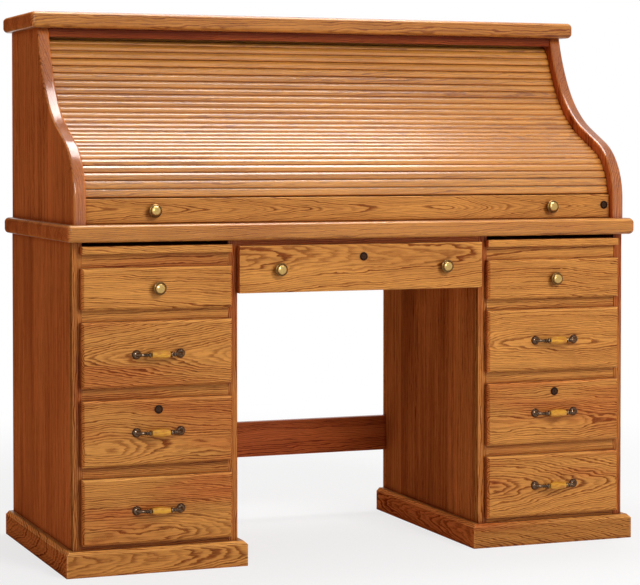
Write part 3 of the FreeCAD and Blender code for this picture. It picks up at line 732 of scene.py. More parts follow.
class Cut(Enum):
    """How a board was sawn, which sets the figure on its face."""

    FLAT = "arches along the face"
    RIFT = "near straight lines"


@dataclass(frozen=True)
class Look:
    """How one board was cut, laid up and stained, and how much shade is painted on it."""

    cut: Cut = Cut.FLAT
    tone: float = 0.0
    # share of the deep colour over the whole board: stain, and painted shade on shaded boards
    dye_and_shade: float = 0.0
    # painted shade on faces turned along X, to either side
    side_dye: float = 0.0
    end_dye: float = 0.75
    stave: float = WHOLE_BOARD
    along: int | None = None
    arches: Point | None = None
    sweep: Point = NO_SWEEP

    def pith(self, rng: random.Random) -> Point:
        """Give the pith's distance across and below the board, and its lean.

        Args:
            rng: The board's own random numbers.

        Returns:
            Two distances in metres and a slope.
        """
        hand = rng.choice((-1, 1))
        if self.arches:
            return self.arches
        if self.cut is Cut.FLAT:
            return (rng.uniform(-0.03, 0.03), rng.uniform(0.03, 0.08), hand * rng.uniform(0.06, 0.16))
        return (hand * rng.uniform(0.12, 0.3), rng.uniform(0.05, 0.2),
                hand * rng.uniform(0.005, 0.03))


Triangles = list[tuple[int, int, int]]
Solid = tuple[np.ndarray, Triangles]


def corners_of(triangles: Triangles) -> list[int]:
    """Give the numbers of the points that some triangles use, in order."""
    return sorted({corner for triangle in triangles for corner in triangle})


def solids_of(node: str) -> list[Solid]:
    """Split a node of the frame into its solids.

    The triangles are written solid by solid, so a solid ends where every edge has met its partner.

    Args:
        node: The node's name.

    Returns:
        The points and triangles of each solid.
    """
    mesh = frame["nodes"][node].data
    points = np.array([vertex.co for vertex in mesh.vertices])
    places: dict[tuple, int] = {}
    index = [places.setdefault(tuple(point), len(places)) for point in np.round(points, 6).tolist()]
    spots = np.array(list(places))
    solids: list[Solid] = []
    triangles: Triangles = []
    open_edges: set[tuple[int, int]] = set()
    for polygon in mesh.polygons:
        a, b, c = (index[vertex] for vertex in polygon.vertices)
        if a in (b, c) or b == c:
            continue
        triangles.append((a, b, c))
        for start, end in ((a, b), (b, c), (c, a)):
            if (end, start) in open_edges:
                open_edges.remove((end, start))
            else:
                open_edges.add((start, end))
        if not open_edges:
            solids.append((spots, triangles))
            triangles = []
    return solids + ([(spots, triangles)] if triangles else [])


@dataclass(frozen=True)
class Arris:
    """How the sharp edges of a solid are softened."""

    width: float = 0.8 * MM
    least_angle: float = math.radians(30)
    least_length: float = 6 * MM
    flat_angle: float = math.radians(0.3)

    def soften(self, solid: Solid) -> tuple[np.ndarray, list[tuple[int, ...]]]:
        """Join a solid's flat triangles and round its edges.

        Args:
            solid: Points and triangles.

        Returns:
            The new points and faces.
        """
        spots, triangles = solid
        shape = bmesh.new()
        used = {corner: shape.verts.new(spots[corner]) for corner in corners_of(triangles)}
        for triangle in triangles:
            shape.faces.new([used[corner] for corner in triangle])
        bmesh.ops.dissolve_limit(
            shape, angle_limit=self.flat_angle, verts=shape.verts, edges=shape.edges)
        edges = [edge for edge in shape.edges
                 if edge.is_manifold and edge.calc_length() > self.least_length
                 and edge.calc_face_angle() > self.least_angle]
        if self.width and edges:
            bmesh.ops.bevel(shape, geom=edges, offset=self.width, offset_type="OFFSET", segments=2,
                            profile=0.5, affect="EDGES", clamp_overlap=True)
        shape.verts.index_update()
        points = np.array([vertex.co for vertex in shape.verts])
        faces = [tuple(vertex.index for vertex in face.verts) for face in shape.faces]
        shape.free()
        return points, faces


SOFT = Arris()
FINE = Arris(width=0.3 * MM, least_length=1 * MM)
AS_DRAWN = Arris(width=0.0)


def read(items: bpy.types.bpy_prop_collection, name: str, width: int = 1, kind: type = float
         ) -> np.ndarray:
    """Read one property of all items of a mesh.

    Args:
        items: Its vertices, corners or faces.
        name: The property's name.
        width: How many numbers it has.
        kind: The numbers' type.

    Returns:
        The numbers in a row.
    """
    values = np.empty(len(items) * width, kind)
    items.foreach_get(name, values)
    return values


def weighted_normals(mesh: bpy.types.Mesh, least_cosine: float = math.cos(math.radians(42))
                     ) -> np.ndarray:
    """Work out a normal for each face corner, led by the large flat faces round it.

    Args:
        mesh: The mesh.
        least_cosine: Faces whose normals differ more than this stay apart.

    Returns:
        One unit vector per face corner.
    """
    normals = read(mesh.polygons, "normal", 3).reshape(-1, 3)
    areas = read(mesh.polygons, "area")
    sizes = read(mesh.polygons, "loop_total", kind=int)
    corner_vertex = read(mesh.loops, "vertex_index", kind=int)
    corner_face = np.repeat(np.arange(len(sizes)), sizes)
    order = np.argsort(corner_vertex, kind="stable")
    meeting = np.bincount(corner_vertex, minlength=len(mesh.vertices))
    starts = np.concatenate(([0], np.cumsum(meeting)[:-1]))
    result = np.empty((len(mesh.loops), 3))
    for faces_meeting in np.unique(meeting[meeting > 0]):
        first = starts[meeting == faces_meeting]
        corners = order[first[:, None] + np.arange(faces_meeting)]
        around = normals[corner_face[corners]]
        weight = areas[corner_face[corners]] + TINY
        near = np.einsum("nid,njd->nij", around, around) > least_cosine
        total = np.einsum("nij,nj,njd->nid", near, weight, around)
        length = np.linalg.norm(total, axis=2, keepdims=True)
        result[corners] = np.where(length > 0, total / np.maximum(length, TINY), around)
    return result


def add_piece(name: str, mesh: bpy.types.Mesh, finish: Finish, body: str) -> bpy.types.Object:
    """Put a finished mesh in the scene.

    Args:
        name: The piece's name.
        mesh: Its mesh.
        finish: Its finish.
        body: The body that it moves with.

    Returns:
        The new object.
    """
    mesh.materials.append(material_of(finish))
    piece = bpy.data.objects.new(name, mesh)
    bpy.context.scene.collection.objects.link(piece)
    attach(piece, body)
    LOG.info("%s: %d faces on %s", name, len(mesh.polygons), body)
    return piece


BODY_OF = {node: body for body, nodes in frame["record"]["behaviour"]["bodies"].items()
           for node in nodes}


@dataclass
class BoardWork:
    """The boards of one node, dressed as one piece."""

    node: str
    finish: WoodFinish = OAK
    arris: Arris = SOFT
    looks: Sequence[Look] = (Look(),)
    ending: str = "_boards"
    crown: float = 0.0

    def build(self, solids: list[Solid] | None = None) -> None:
        """Make the piece, which stands for its node.

        Args:
            solids: The solids to dress, where the node has others too.
        """
        points: list[np.ndarray] = []
        faces: list[tuple[int, ...]] = []
        layers: dict[str, list[np.ndarray]] = {"grain": [], "pith": [], "sweep": [], "board": []}
        dye_and_shade: list[tuple[Look, int]] = []
        offset = 0
        for number, solid in enumerate(solids or solids_of(self.node)):
            look = self.looks[min(number, len(self.looks) - 1)]
            rng = random.Random(f"{self.node} {number}")
            spots, sides = self.arris.soften(solid)
            size = np.ptp(spots, axis=0)
            axes = sorted(range(3), key=lambda axis: -size[axis])
            if look.along is not None:
                axes.sort(key=lambda axis: axis != look.along)
            middle = (spots.min(axis=0) + spots.max(axis=0)) / 2
            points.append(spots)
            faces += [tuple(corner + offset for corner in side) for side in sides]
            offset += len(spots)
            layers["grain"].append((spots - middle)[:, axes])
            constants = {"pith": look.pith(rng), "sweep": look.sweep,
                         "board": (look.tone, rng.uniform(*SEED_RANGE), look.stave)}
            for name, values in constants.items():
                layers[name].append(np.tile(values, (len(spots), 1)))
            dye_and_shade += [(look, axes[0])] * sum(len(side) for side in sides)
        mesh = bpy.data.meshes.new(self.node + self.ending)
        mesh.from_pydata(np.concatenate(points).tolist(), [], faces)
        mesh.polygons.foreach_set("use_smooth", [True] * len(mesh.polygons))
        mesh.polygons.foreach_set(
            "material_index",
            [int(max(abs(side.normal.x), side.normal.y) > SATIN_FROM) for side in mesh.polygons])
        normals = weighted_normals(mesh)
        if self.crown:
            self.round_over(mesh, normals)
        mesh.normals_split_custom_set(normals.tolist())
        for name, stretches in layers.items():
            layer = mesh.attributes.new(name, "FLOAT_VECTOR", "POINT")
            layer.data.foreach_set("vector", np.concatenate(stretches).ravel())
        # Each corner's share of the deep colour: stain in end grain, and painted shade on side faces
        # and shaded boards.
        layer = mesh.attributes.new("dye_and_shade", "FLOAT", "CORNER")
        facing = np.abs(normals)
        layer.data.foreach_set("value", [self.stain_and_shade_depth(look, along, facing[corner])
                                         for corner, (look, along) in enumerate(dye_and_shade)])
        piece = add_piece(self.node + self.ending, mesh, self.finish, BODY_OF[self.node])
        mesh.materials.append(material_of(self.finish if self.finish is DRAWER_WOOD else SATIN_OAK))
        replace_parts(piece, self.node)

    def round_over(self, mesh: bpy.types.Mesh, normals: np.ndarray) -> None:
        """Turn the normals of long flat faces out towards their edges, as on a crowned moulding.

        Args:
            mesh: Boards that run along X.
            normals: One unit vector per face corner, changed in place.
        """
        turned: dict[int, Vector] = {}
        for side in mesh.polygons:
            if side.area > FLAT_AREA and side.normal.z > side.normal.y:
                for corner in side.vertices:
                    out = mesh.vertices[corner].co - side.center
                    out.x = 0.0
                    lean = side.normal + self.crown * out.normalized()
                    turned[corner] = turned.get(corner, Vector()) + lean
        for side in mesh.polygons:
            for corner in side.loop_indices:
                facing = turned.get(mesh.loops[corner].vertex_index, Vector()).normalized()
                if facing.dot(side.normal) > FACING_ALIKE:
                    normals[corner] = facing

    @staticmethod
    def stain_and_shade_depth(look: Look, along: int, facing: np.ndarray) -> float:
        """Say how deep the stain and the painted side shade are at a face corner.

        Args:
            look: The board's look.
            along: The axis of its grain.
            facing: The size of each part of the corner's normal.

        Returns:
            The share of the deep colour, which is stain and also painted side shade, from 0 to 1.
        """
        end = facing[along] ** END_FALLOFF * look.end_dye
        # Painted shade: faces turned along X are darkened and reddened, whichever way they face.
        side = float(np.clip((facing[0] - SIDE_SHADE_FROM) / SIDE_SHADE_SPAN, 0, 1)) * look.side_dye
        return max(look.dye_and_shade, end, side)


@dataclass
class Turning:
    """Rings of points joined into a turned or bent round piece."""

    steps: int = 32
    points: list[Point] = field(default_factory=list)
    faces: list[tuple[int, ...]] = field(default_factory=list)

    def add(self, rings: Sequence[Sequence[Point]]) -> None:
        """Join rings in a row and close both ends.

        Args:
            rings: Rings of as many points each as the piece has steps.
        """
        base = len(self.points)
        for ring in rings:
            self.points += ring
        for row in range(len(rings) - 1):
            here = base + row * self.steps
            for step in range(self.steps):
                beside = (step + 1) % self.steps
                above = here + self.steps
                self.faces.append((here + step, here + beside, above + beside, above + step))
        last = base + (len(rings) - 1) * self.steps
        self.faces.append(tuple(range(base, base + self.steps))[::-1])
        self.faces.append(tuple(range(last, last + self.steps)))

    def turned(self, foot: Vector, profile: Iterable[tuple[float, float]]) -> None:
        """Turn a profile about a line that leaves a front squarely.

        Args:
            foot: Where the line meets the front.
            profile: Distances out of the front, with the radius there.
        """
        angles = [math.tau * step / self.steps for step in range(self.steps)]
        self.add([[(foot.x + radius * math.cos(angle), foot.y - out, foot.z + radius * math.sin(angle))
                   for angle in angles] for out, radius in profile])

    def bent(self, path: Sequence[Vector], radii: Sequence[float]) -> None:
        """Draw a round bar along a path in a level plane.

        Args:
            path: The points of the path.
            radii: The bar's radius at each point.
        """
        rings = []
        angles = [math.tau * step / self.steps for step in range(self.steps)]
        for number, (place, radius) in enumerate(zip(path, radii)):
            ahead = path[min(number + 1, len(path) - 1)] - path[max(number - 1, 0)]
            beside = Vector((-ahead.y, ahead.x, 0)).normalized()
            rings.append([tuple(place + radius * (beside * math.cos(angle)
                                                  + Vector((0, 0, math.sin(angle)))))
                          for angle in angles])
        self.add(rings)

    def include(self, solids: Iterable[Solid], arris: Arris = FINE) -> None:
        """Take in solids of the frame, with their edges softened.

        Args:
            solids: The solids.
            arris: How their edges are softened.
        """
        for solid in solids:
            spots, sides = arris.soften(solid)
            base = len(self.points)
            self.points += [tuple(spot) for spot in spots]
            self.faces += [tuple(corner + base for corner in side) for side in sides]

    def mesh(self, name: str, sharp: float = math.radians(38)) -> bpy.types.Mesh:
        """Give the mesh, smooth but for its sharp corners.

        Args:
            name: The mesh's name.
            sharp: The angle from which an edge stays sharp.

        Returns:
            The new mesh.
        """
        mesh = bpy.data.meshes.new(name)
        mesh.from_pydata(self.points, [], self.faces)
        shape = bmesh.new()
        shape.from_mesh(mesh)
        bmesh.ops.recalc_face_normals(shape, faces=shape.faces)
        shape.to_mesh(mesh)
        shape.free()
        mesh.polygons.foreach_set("use_smooth", [True] * len(mesh.polygons))
        mesh.set_sharp_from_angle(angle=sharp)
        return mesh

    def piece(self, node: str, ending: str, finish: Finish) -> bpy.types.Object:
        """Put the turning in the scene as a piece that moves with a node."""
        return add_piece(node + ending, self.mesh(node + ending), finish, BODY_OF[node])


def arc(centre: tuple[float, float], radius: float, start: float, end: float, steps: int
        ) -> list[tuple[float, float]]:
    """Give points of a round stretch of a profile.

    Args:
        centre: Distance out and radius of the arc's middle.
        radius: The arc's own radius.
        start: Its first angle in degrees, from the way out towards the rim.
        end: Its last angle.
        steps: How many parts it has.

    Returns:
        Distances out and radii.
    """
    angles = [math.radians(start + (end - start) * step / steps) for step in range(steps + 1)]
    return [(centre[0] + radius * math.cos(angle), centre[1] + radius * math.sin(angle))
            for angle in angles]


DOME_END = math.radians(88)


def dome(low: float, rise: float, radius: float, points: int) -> list[tuple[float, float]]:
    """Give the profile of a dome that ends just short of its middle.

    Args:
        low: Its distance out at the rim.
        rise: How far it rises from there.
        radius: Its radius at the rim.
        points: How many points it has.

    Returns:
        Distances out and radii.
    """
    angles = np.linspace(0, DOME_END, points)
    return [(low + rise * math.sin(angle), radius * math.cos(angle)) for angle in angles]


def box_of(solid: Solid) -> tuple[Vector, float]:
    """Measure a solid.

    Args:
        solid: Points and triangles.

    Returns:
        The middle of its box and its least Y.
    """
    points, triangles = solid
    spots = points[corners_of(triangles)]
    low = spots.min(axis=0)
    return Vector((low + spots.max(axis=0)) / 2), low[1]


def add_lock_barrel(node: str, solids: list[Solid]) -> None:
    """Make a node's lock barrel, where it has one.

    Args:
        node: The node.
        solids: The barrel's solids, which may be none.
    """
    if solids:
        barrel = Turning()
        barrel.include(solids)
        barrel.piece(node, "_lock_barrel", LOCK_METAL)


@dataclass
class Knob:
    """A turned knob: a plate, a waisted stem, a rimmed head and a domed button."""

    plate_radius: float = 9.5 * MM
    plate_thick: float = 1.4 * MM
    plate_round: float = 1.1 * MM
    waist_radius: float = 5.4 * MM
    stem: Sequence[tuple[float, float]] = (
        (3.4 * MM, 1.0 * MM), (4.6 * MM, 0.0), (6.6 * MM, 0.0), (8.0 * MM, 1.4 * MM))
    head_radius: float = 15.0 * MM
    head_low: float = 9.5 * MM
    head_high: float = 18.5 * MM
    rim: float = 3.2 * MM
    hollow: float = 1.0 * MM
    button_radius: float = 10.5 * MM
    button_rise: float = 4.0 * MM

    def metal(self, turning: Turning, foot: Vector) -> None:
        """Turn the plate, stem and head.

        Args:
            turning: What the shape is added to.
            foot: The middle of the plate on the front.
        """
        rim_middle = self.head_radius - self.rim
        floor = self.head_high - self.hollow
        profile = [(0.0, self.plate_radius), (self.plate_thick, self.plate_radius)]
        profile += arc((self.plate_thick, self.plate_radius - self.plate_round), self.plate_round,
                       90, 0, 4)
        profile += [(out, self.waist_radius + wider) for out, wider in self.stem]
        profile += [(self.head_low, rim_middle)]
        profile += arc((self.head_low + self.rim, rim_middle), self.rim, 180, 0, 12)
        profile += [(floor - 1.0 * MM, self.button_radius + 0.9 * MM),
                    (floor, self.button_radius + 0.2 * MM), (floor, 1.0 * MM)]
        turning.turned(foot, profile)

    def button(self, turning: Turning, foot: Vector) -> None:
        """Turn the domed button that fills the head.

        Args:
            turning: What the shape is added to.
            foot: The middle of the plate on the front.
        """
        low = self.head_high - self.hollow
        profile = dome(low, self.button_rise + self.hollow, self.button_radius, 12)
        turning.turned(foot, [(low - 0.5 * MM, self.button_radius)] + profile)


@dataclass
class KnobSet:
    """The knobs of one node, with their screws and any lock barrel."""

    node: str
    knob: Knob = field(default_factory=Knob)

    def build(self) -> None:
        """Make the metal, the buttons and the lock barrel of the node."""
        solids = solids_of(self.node)
        whole = len(solids) - len(solids) % KNOB_SOLIDS
        metal = Turning()
        buttons = Turning()
        for first in range(0, whole, KNOB_SOLIDS):
            middle, front = box_of(solids[first])
            foot = Vector((middle.x, front + self.knob.head_high, middle.z))
            self.knob.metal(metal, foot)
            self.knob.button(buttons, foot)
            metal.include([solids[first + KNOB_SOLIDS - 1]])
        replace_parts(metal.piece(self.node, "_turned", BRASS), self.node)
        buttons.piece(self.node, "_buttons", BUTTON)
        add_lock_barrel(self.node, solids[whole:])


@dataclass
class BowPull:
    """A bow pull: two domed feet, bowed arms with beads and a glazed barrel."""

    node: str
    foot_radius: float = 10.5 * MM
    foot_rise: float = 9.0 * MM
    barrel_out: float = 19.5 * MM
    barrel_half: float = 21.5 * MM
    barrel_radius: float = 8.5 * MM
    barrel_end_radius: float = 5.8 * MM
    barrel_rounding: float = 0.06
    barrel_end_share: float = 0.3
    arm_points: int = 49
    arm_radius: float = 2.7 * MM
    arm_root: float = 2.6 * MM
    arm_swell: float = 0.8 * MM
    flange: float = 1.2 * MM
    beads: Sequence[Point] = ((0.62, 0.028, 1.7 * MM), (0.74, 0.03, 2.3 * MM), (0.9, 0.05, 2.6 * MM))

    def build(self) -> None:
        """Make the metal, the barrel and any lock barrel of the node."""
        solids = solids_of(self.node)
        middle = box_of(solids[0])[0]
        middle.y = box_of(solids[PULL_FEET[0]])[1] + self.foot_rise
        metal = Turning(steps=24)
        for number in PULL_FEET:
            foot = box_of(solids[number])[0]
            foot.y = middle.y
            self.foot(metal, foot)
            self.arm(metal, foot, Vector((middle.x, middle.y, foot.z)))
        metal.include(solids[number] for number in PULL_SCREWS)
        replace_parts(metal.piece(self.node, "_bow", BRONZE), self.node)
        self.barrel(middle).piece(self.node, "_barrel", GLAZE)
        add_lock_barrel(self.node, solids[PULL_SOLIDS:])

    def foot(self, turning: Turning, foot: Vector) -> None:
        """Turn a domed foot on a thin flange.

        Args:
            turning: What the shape is added to.
            foot: The middle of the foot on the front.
        """
        profile = [(0.0, self.foot_radius), (0.7 * MM, self.foot_radius),
                   (self.flange, self.foot_radius - 0.4 * MM)]
        profile += dome(self.flange, self.foot_rise - self.flange, self.foot_radius - 0.9 * MM, 11)
        turning.turned(foot, profile)

    def arm(self, turning: Turning, foot: Vector, middle: Vector) -> None:
        """Draw a bowed arm from a foot to the barrel, with two beads and a collar at its end.

        Args:
            turning: What the shape is added to.
            foot: The middle of the foot on the front.
            middle: The middle of the pull on the front.
        """
        hand = 1.0 if foot.x > middle.x else -1.0
        reach = abs(foot.x - middle.x)
        corners = [(reach, 0.5 * self.foot_rise), (reach - 5 * MM, 0.86 * self.barrel_out),
                   (reach - 13 * MM, self.barrel_out), (self.barrel_half - 2 * MM, self.barrel_out)]
        shares = np.linspace(0, 1, self.arm_points)
        path = []
        for share in shares:
            weights = [math.comb(3, power) * share ** power * (1 - share) ** (3 - power)
                       for power in range(4)]
            beside = sum(weight * corner[0] for weight, corner in zip(weights, corners))
            out = sum(weight * corner[1] for weight, corner in zip(weights, corners))
            path.append(Vector((middle.x + hand * beside, middle.y - out, middle.z)))
        waist = self.arm_radius + self.arm_root * (1 - shares) ** 3 + self.arm_swell * shares
        beads = sum(rise * np.exp(-((shares - place) / width) ** 2)
                    for place, width, rise in self.beads)
        turning.bent(path, (waist + beads).tolist())

    def barrel(self, foot: Vector) -> Turning:
        """Turn the glazed barrel.

        Args:
            foot: The middle of the pull on the front.

        Returns:
            The turning.
        """
        turning = Turning()
        places = np.sin(np.radians(np.linspace(-90, 90, 25)))
        path = [foot + Vector((place * self.barrel_half, -self.barrel_out, 0)) for place in places]
        swell = self.barrel_radius - self.barrel_end_radius
        swell = self.barrel_end_radius + swell * (1 - places ** 2)
        closing = np.clip((1 - np.abs(places)) / self.barrel_rounding, 0, 1) ** 0.5
        turning.bent(path, (swell * np.maximum(closing, self.barrel_end_share)).tolist())
        return turning


@dataclass
class DrawerFront:
    """The look of a drawer's front board."""

    tone: float
    arches: Point
    sweep: Point = NO_SWEEP


@dataclass
class Drawers:
    """All drawers: fronts, boxes, fittings and lock plugs."""

    fronts: dict[str, DrawerFront]
    # deep colour on the left and right ends of the fronts: end-grain stain and painted side shade
    edge_dye_and_shade: float = 0.75
    box: Look = Look(cut=Cut.RIFT, end_dye=0.6)

    def build(self) -> None:
        """Dress every drawer."""
        for name, front in self.fronts.items():
            look = Look(tone=front.tone, arches=front.arches, sweep=front.sweep,
                        side_dye=self.edge_dye_and_shade, end_dye=self.edge_dye_and_shade)
            BoardWork(name + "_front", looks=[look]).build()
            BoardWork(name + "_box", finish=DRAWER_WOOD, looks=[self.box]).build()
        for side in SIDES:
            for level in PULL_DRAWERS:
                BowPull(f"{side}_{level}_drawer_pull").build()
            KnobSet(f"{side}_top_drawer_knob").build()
        KnobSet("pencil_drawer_knobs").build()
        for node, piece in frame["nodes"].items():
            if node.endswith("_lock_plug"):
                piece.data.materials.clear()
                piece.data.materials.append(material_of(LOCK_FACE))


@dataclass
class Pedestals:
    """Side panels, face frames, backs, plinths, runners, rails and writing boards."""

    stave: float = 0.105
    back_stave: float = 0.14
    # deep stain on the panels, which also paints the darker, redder shade of their side faces
    panel_dye_and_shade: float = 0.9

    def build(self) -> None:
        """Dress the boards under the desk top."""
        upright = Look(cut=Cut.RIFT, stave=self.stave, dye_and_shade=self.panel_dye_and_shade, along=UPRIGHT)
        # The inner panels, under the desk, are toned darker and stained deeper as painted shade.
        shaded = replace(upright, tone=-0.55, dye_and_shade=0.62)
        stile = Look(cut=Cut.RIFT, tone=-0.8, dye_and_shade=0.25)
        rail = Look(cut=Cut.RIFT, tone=-0.12)
        leaf = [Look(stave=self.stave, tone=0.1), Look(tone=0.1)]
        for side in SIDES:
            BoardWork(f"{side}_pedestal_sides", looks=[shaded, upright]).build()
            BoardWork(f"{side}_face_frame", looks=[stile, stile, rail]).build()
            BoardWork(f"{side}_writing_board", looks=leaf).build()
        # The plinth ends take painted side shade.
        plinth_sides = [Look(side_dye=0.8)] * 2
        bold = Look(tone=-0.9, arches=(-0.03, 0.02, 0.2))
        back = Look(stave=self.back_stave, along=UPRIGHT, tone=-0.1)
        runner = Look(cut=Cut.RIFT, tone=-0.3)
        BoardWork("plinths", looks=[Look(), *plinth_sides, bold, *plinth_sides]).build()
        BoardWork("pedestal_backs", looks=[back]).build()
        # The stretcher under the desk is toned and stained darker as painted shade.
        BoardWork("back_stretcher", looks=[Look(cut=Cut.RIFT, dye_and_shade=0.85, tone=-1.1)]).build()
        BoardWork("apron_rail", looks=[Look(cut=Cut.RIFT, dye_and_shade=0.6, tone=-0.3)]).build()
        BoardWork("drawer_runners", finish=DRAWER_WOOD, looks=[runner]).build()


@dataclass
class Hutch:
    """The desk top and what stands on it, but for the curtain."""

    stave: float = 0.125
    back_stave: float = 0.2
    # painted side shade on the ends of the desk top and the cap
    slab_side_shade: float = 0.95
    # painted side shade on the broad outer faces of the hutch sides
    side_dye: float = 0.93
    inner_dye: float = 0.3
    # painted light: the left side is toned lighter and the right darker to match how light and
    # reflection fall on each
    side_tones: tuple[float, float] = (0.55, -0.4)

    def build(self) -> None:
        """Dress the desk top, the hutch and its pigeonholes."""
        slab = Look(cut=Cut.RIFT, stave=self.stave, side_dye=self.slab_side_shade)
        for node in ("desk_top", "hutch_top"):
            BoardWork(node, finish=EDGED_OAK, looks=[slab]).build()
        for side, tone in zip(SIDES, self.side_tones):
            look = replace(slab, tone=tone, dye_and_shade=self.inner_dye, along=UPRIGHT, side_dye=self.side_dye,
                           end_dye=self.inner_dye)
            BoardWork(f"hutch_{side}_side", finish=POLISHED_OAK, arris=AS_DRAWN, looks=[look]).build()
        # The header under the cap is toned and stained dark as painted shadow from the cap.
        BoardWork("header_rail", looks=[Look(cut=Cut.RIFT, tone=-2.3, dye_and_shade=0.8)]).build()
        BoardWork("hutch_back", looks=[Look(stave=self.back_stave, tone=-0.1)]).build()
        BoardWork("pigeonhole_gallery", looks=[Look(cut=Cut.RIFT, tone=0.05)]).build()


@dataclass
class Curtain:
    """The lift rail and the slats on their canvas."""

    groups: int = 9
    tones: tuple[float, float] = (-0.12, 0.45)
    crown: float = 0.45
    rail: Look = Look(tone=0.2, arches=(0.002, 0.012, 0.1), sweep=(3.2, 0.24, 0.08))

    def build(self) -> None:
        """Dress the curtain."""
        BoardWork("lift_rail", looks=[self.rail]).build()
        KnobSet("lift_rail_knobs").build()
        rng = random.Random("slats")
        for number in range(1, self.groups + 1):
            node = f"tambour_group_{number}"
            *slats, strip = solids_of(node)
            looks = [Look(cut=Cut.RIFT, tone=rng.uniform(*self.tones)) for _ in slats]
            BoardWork(node, finish=GLOSSY_OAK, arris=FINE, looks=looks, ending="_slats",
                      crown=self.crown).build(slats)
            cloth = Turning()
            cloth.include([strip], AS_DRAWN)
            cloth.piece(node, "_canvas", CANVAS)


class Shine(Enum):
    """What a lamp does to the surfaces in its light."""

    MATT = "lights them only"
    GLOSS = "shows in their gloss only"


@dataclass
class Lamp:
    """A soft rectangular lamp."""

    name: str
    place: Point
    aim: Point
    size: tuple[float, float]
    power: float
    shine: Shine

    def build(self) -> None:
        """Put the lamp in the scene."""
        data = bpy.data.lights.new(self.name, "AREA")
        data.shape = "RECTANGLE"
        data.size, data.size_y = self.size
        data.energy = self.power
        lamp = bpy.data.objects.new(self.name, data)
        lamp.visible_glossy = self.shine is Shine.GLOSS
        lamp.visible_diffuse = self.shine is Shine.MATT
        lamp.location = self.place
        way = Vector(self.aim) - Vector(self.place)
        lamp.rotation_euler = way.to_track_quat("-Z", "Y").to_euler()
        bpy.context.scene.collection.objects.link(lamp)


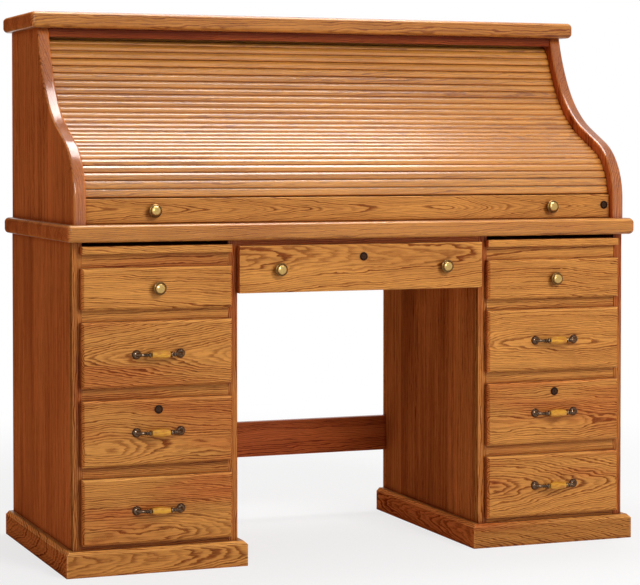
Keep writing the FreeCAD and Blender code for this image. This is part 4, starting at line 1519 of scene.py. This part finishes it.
@dataclass
class Studio:
    """A pale floor, soft lamps, a white surround and the camera."""

    floor_half: float = 14.0
    floor_colour: Colour = (0.86, 0.86, 0.86, 1.0)
    floor_roughness: float = 0.9
    near_glow: float = 0.72
    glow_reach: tuple[float, float] = (0.9, 2.6)
    surround: float = 0.33
    camera_place: Point = (-1.8247, -4.72, 0.9249)
    camera_pitch: float = math.radians(-1.57)
    camera_yaw: float = math.radians(-21.16)
    sensor_width: float = 36.0
    lens: float = 119.7
    image_width: int = 640
    shift_pixels: int = -85
    lamps: Sequence[Lamp] = (
        Lamp("key", (1.1, -4.2, 3.1), (0.0, 0.0, 0.6), (1.5, 1.5), 132.0, Shine.MATT),
        Lamp("overhead", (0.5, 0.62, 3.0), (0.35, 0.1, 1.0), (2.4, 1.15), 44.0, Shine.MATT),
        Lamp("sheen", (0.2, 0.3, 3.0), (0.2, 0.1, 1.0), (1.95, 1.6), 128.0, Shine.GLOSS),
        Lamp("low_fill", (1.9, -4.9, 1.0), (0.0, 0.0, 0.6), (1.6, 1.6), 40.0, Shine.MATT),
        Lamp("glint", (-2.4, -3.9, 2.4), (0.0, 0.0, 0.6), (1.1, 1.1), 110.0, Shine.GLOSS))

    def build(self) -> None:
        """Set up the light, the floor and the camera."""
        scene = bpy.context.scene
        scene.view_settings.view_transform = "Standard"
        self.floor()
        self.world(scene)
        for lamp in self.lamps:
            lamp.build()
        data = bpy.data.cameras.new("photo_camera")
        data.sensor_width = self.sensor_width
        data.lens = self.lens
        data.shift_y = self.shift_pixels / self.image_width
        camera = bpy.data.objects.new("photo_camera", data)
        camera.location = self.camera_place
        camera.rotation_euler = (math.radians(90) + self.camera_pitch, 0, self.camera_yaw)
        scene.collection.objects.link(camera)
        scene.camera = camera

    def floor(self) -> None:
        """Lay the floor, which looks white but keeps the desk's shadow."""
        half = self.floor_half
        corners = [(-half, -half, 0), (half, -half, 0), (half, half, 0), (-half, half, 0)]
        mesh = bpy.data.meshes.new("floor")
        mesh.from_pydata(corners, [], [tuple(range(len(corners)))])
        material, graph, shader = new_material("pale_floor")
        graph.set_inputs(shader, Base_Color=self.floor_colour, Roughness=self.floor_roughness,
                         Specular_IOR_Level=0.0)
        glow = graph.add("ShaderNodeEmission")
        away = graph.vector("LENGTH", graph.add("ShaderNodeTexCoord").outputs["Object"])
        share = graph.ease(away, *self.glow_reach, self.near_glow, 1.0)
        blend = graph.add("ShaderNodeMixShader", graph.times(self.seen(graph), share),
                          shader.outputs[0], glow.outputs[0])
        graph.set_inputs(material.node_tree.nodes["Material Output"], Surface=blend.outputs[0])
        mesh.materials.append(material)
        floor = bpy.data.objects.new("floor", mesh)
        bpy.context.scene.collection.objects.link(floor)

    def world(self, scene: bpy.types.Scene) -> None:
        """Make the surround white to look at and dim as a light.

        Args:
            scene: The scene that it goes into.
        """
        world = bpy.data.worlds.new("white_surround")
        world.use_nodes = True
        graph = Graph(world.node_tree)
        background = world.node_tree.nodes["Background"]
        strength = graph.ease(self.seen(graph), 0.0, 1.0, self.surround, 1.0)
        graph.set_inputs(background, Color=PLAIN, Strength=strength)
        scene.world = world

    @staticmethod
    def seen(graph: Graph) -> Socket:
        """Give 1 for rays that look at the surround, straight, mirrored or through glass.

        Args:
            graph: The nodes that ask.

        Returns:
            1 or 0.
        """
        path = graph.add("ShaderNodeLightPath").outputs
        either = graph.math("MAXIMUM", path["Is Camera Ray"], path["Is Glossy Ray"])
        return graph.math("MAXIMUM", either, path["Is Transmission Ray"])


FRONTS = {
    "left_bottom_drawer": DrawerFront(-0.2, (-0.06, 0.05, 0.05), (0.9, 0.03, 0.12)),
    "left_third_drawer": DrawerFront(-0.15, (-0.03, 0.035, 0.03), (2.5, -0.1, 0.07)),
    "left_second_drawer": DrawerFront(-0.15, (-0.005, 0.03, -0.12)),
    "left_top_drawer": DrawerFront(0.3, (-0.12, 0.07, 0.05)),
    "right_bottom_drawer": DrawerFront(-0.2, (0.0, 0.04, 0.12), (1.2, -0.09, 0.06)),
    "right_third_drawer": DrawerFront(-0.15, (-0.02, 0.03, 0.03), (3.0, 0.05, 0.06)),
    "right_second_drawer": DrawerFront(-0.04, (-0.005, 0.02, 0.0), (0.3, 0.0, 1.0)),
    "right_top_drawer": DrawerFront(0.05, (-0.1, 0.05, 0.03), (0.6, 0.02, 0.1)),
    "pencil_drawer": DrawerFront(0.0, (0.03, 0.06, 0.05)),
}


def main() -> None:
    """Build the desk and its studio."""
    logging.basicConfig(level=logging.INFO, format="%(name)s: %(message)s")
    Pedestals().build()
    Drawers(FRONTS).build()
    Hutch().build()
    Curtain().build()
    Studio().build()


if __name__ == "__main__":
    main()
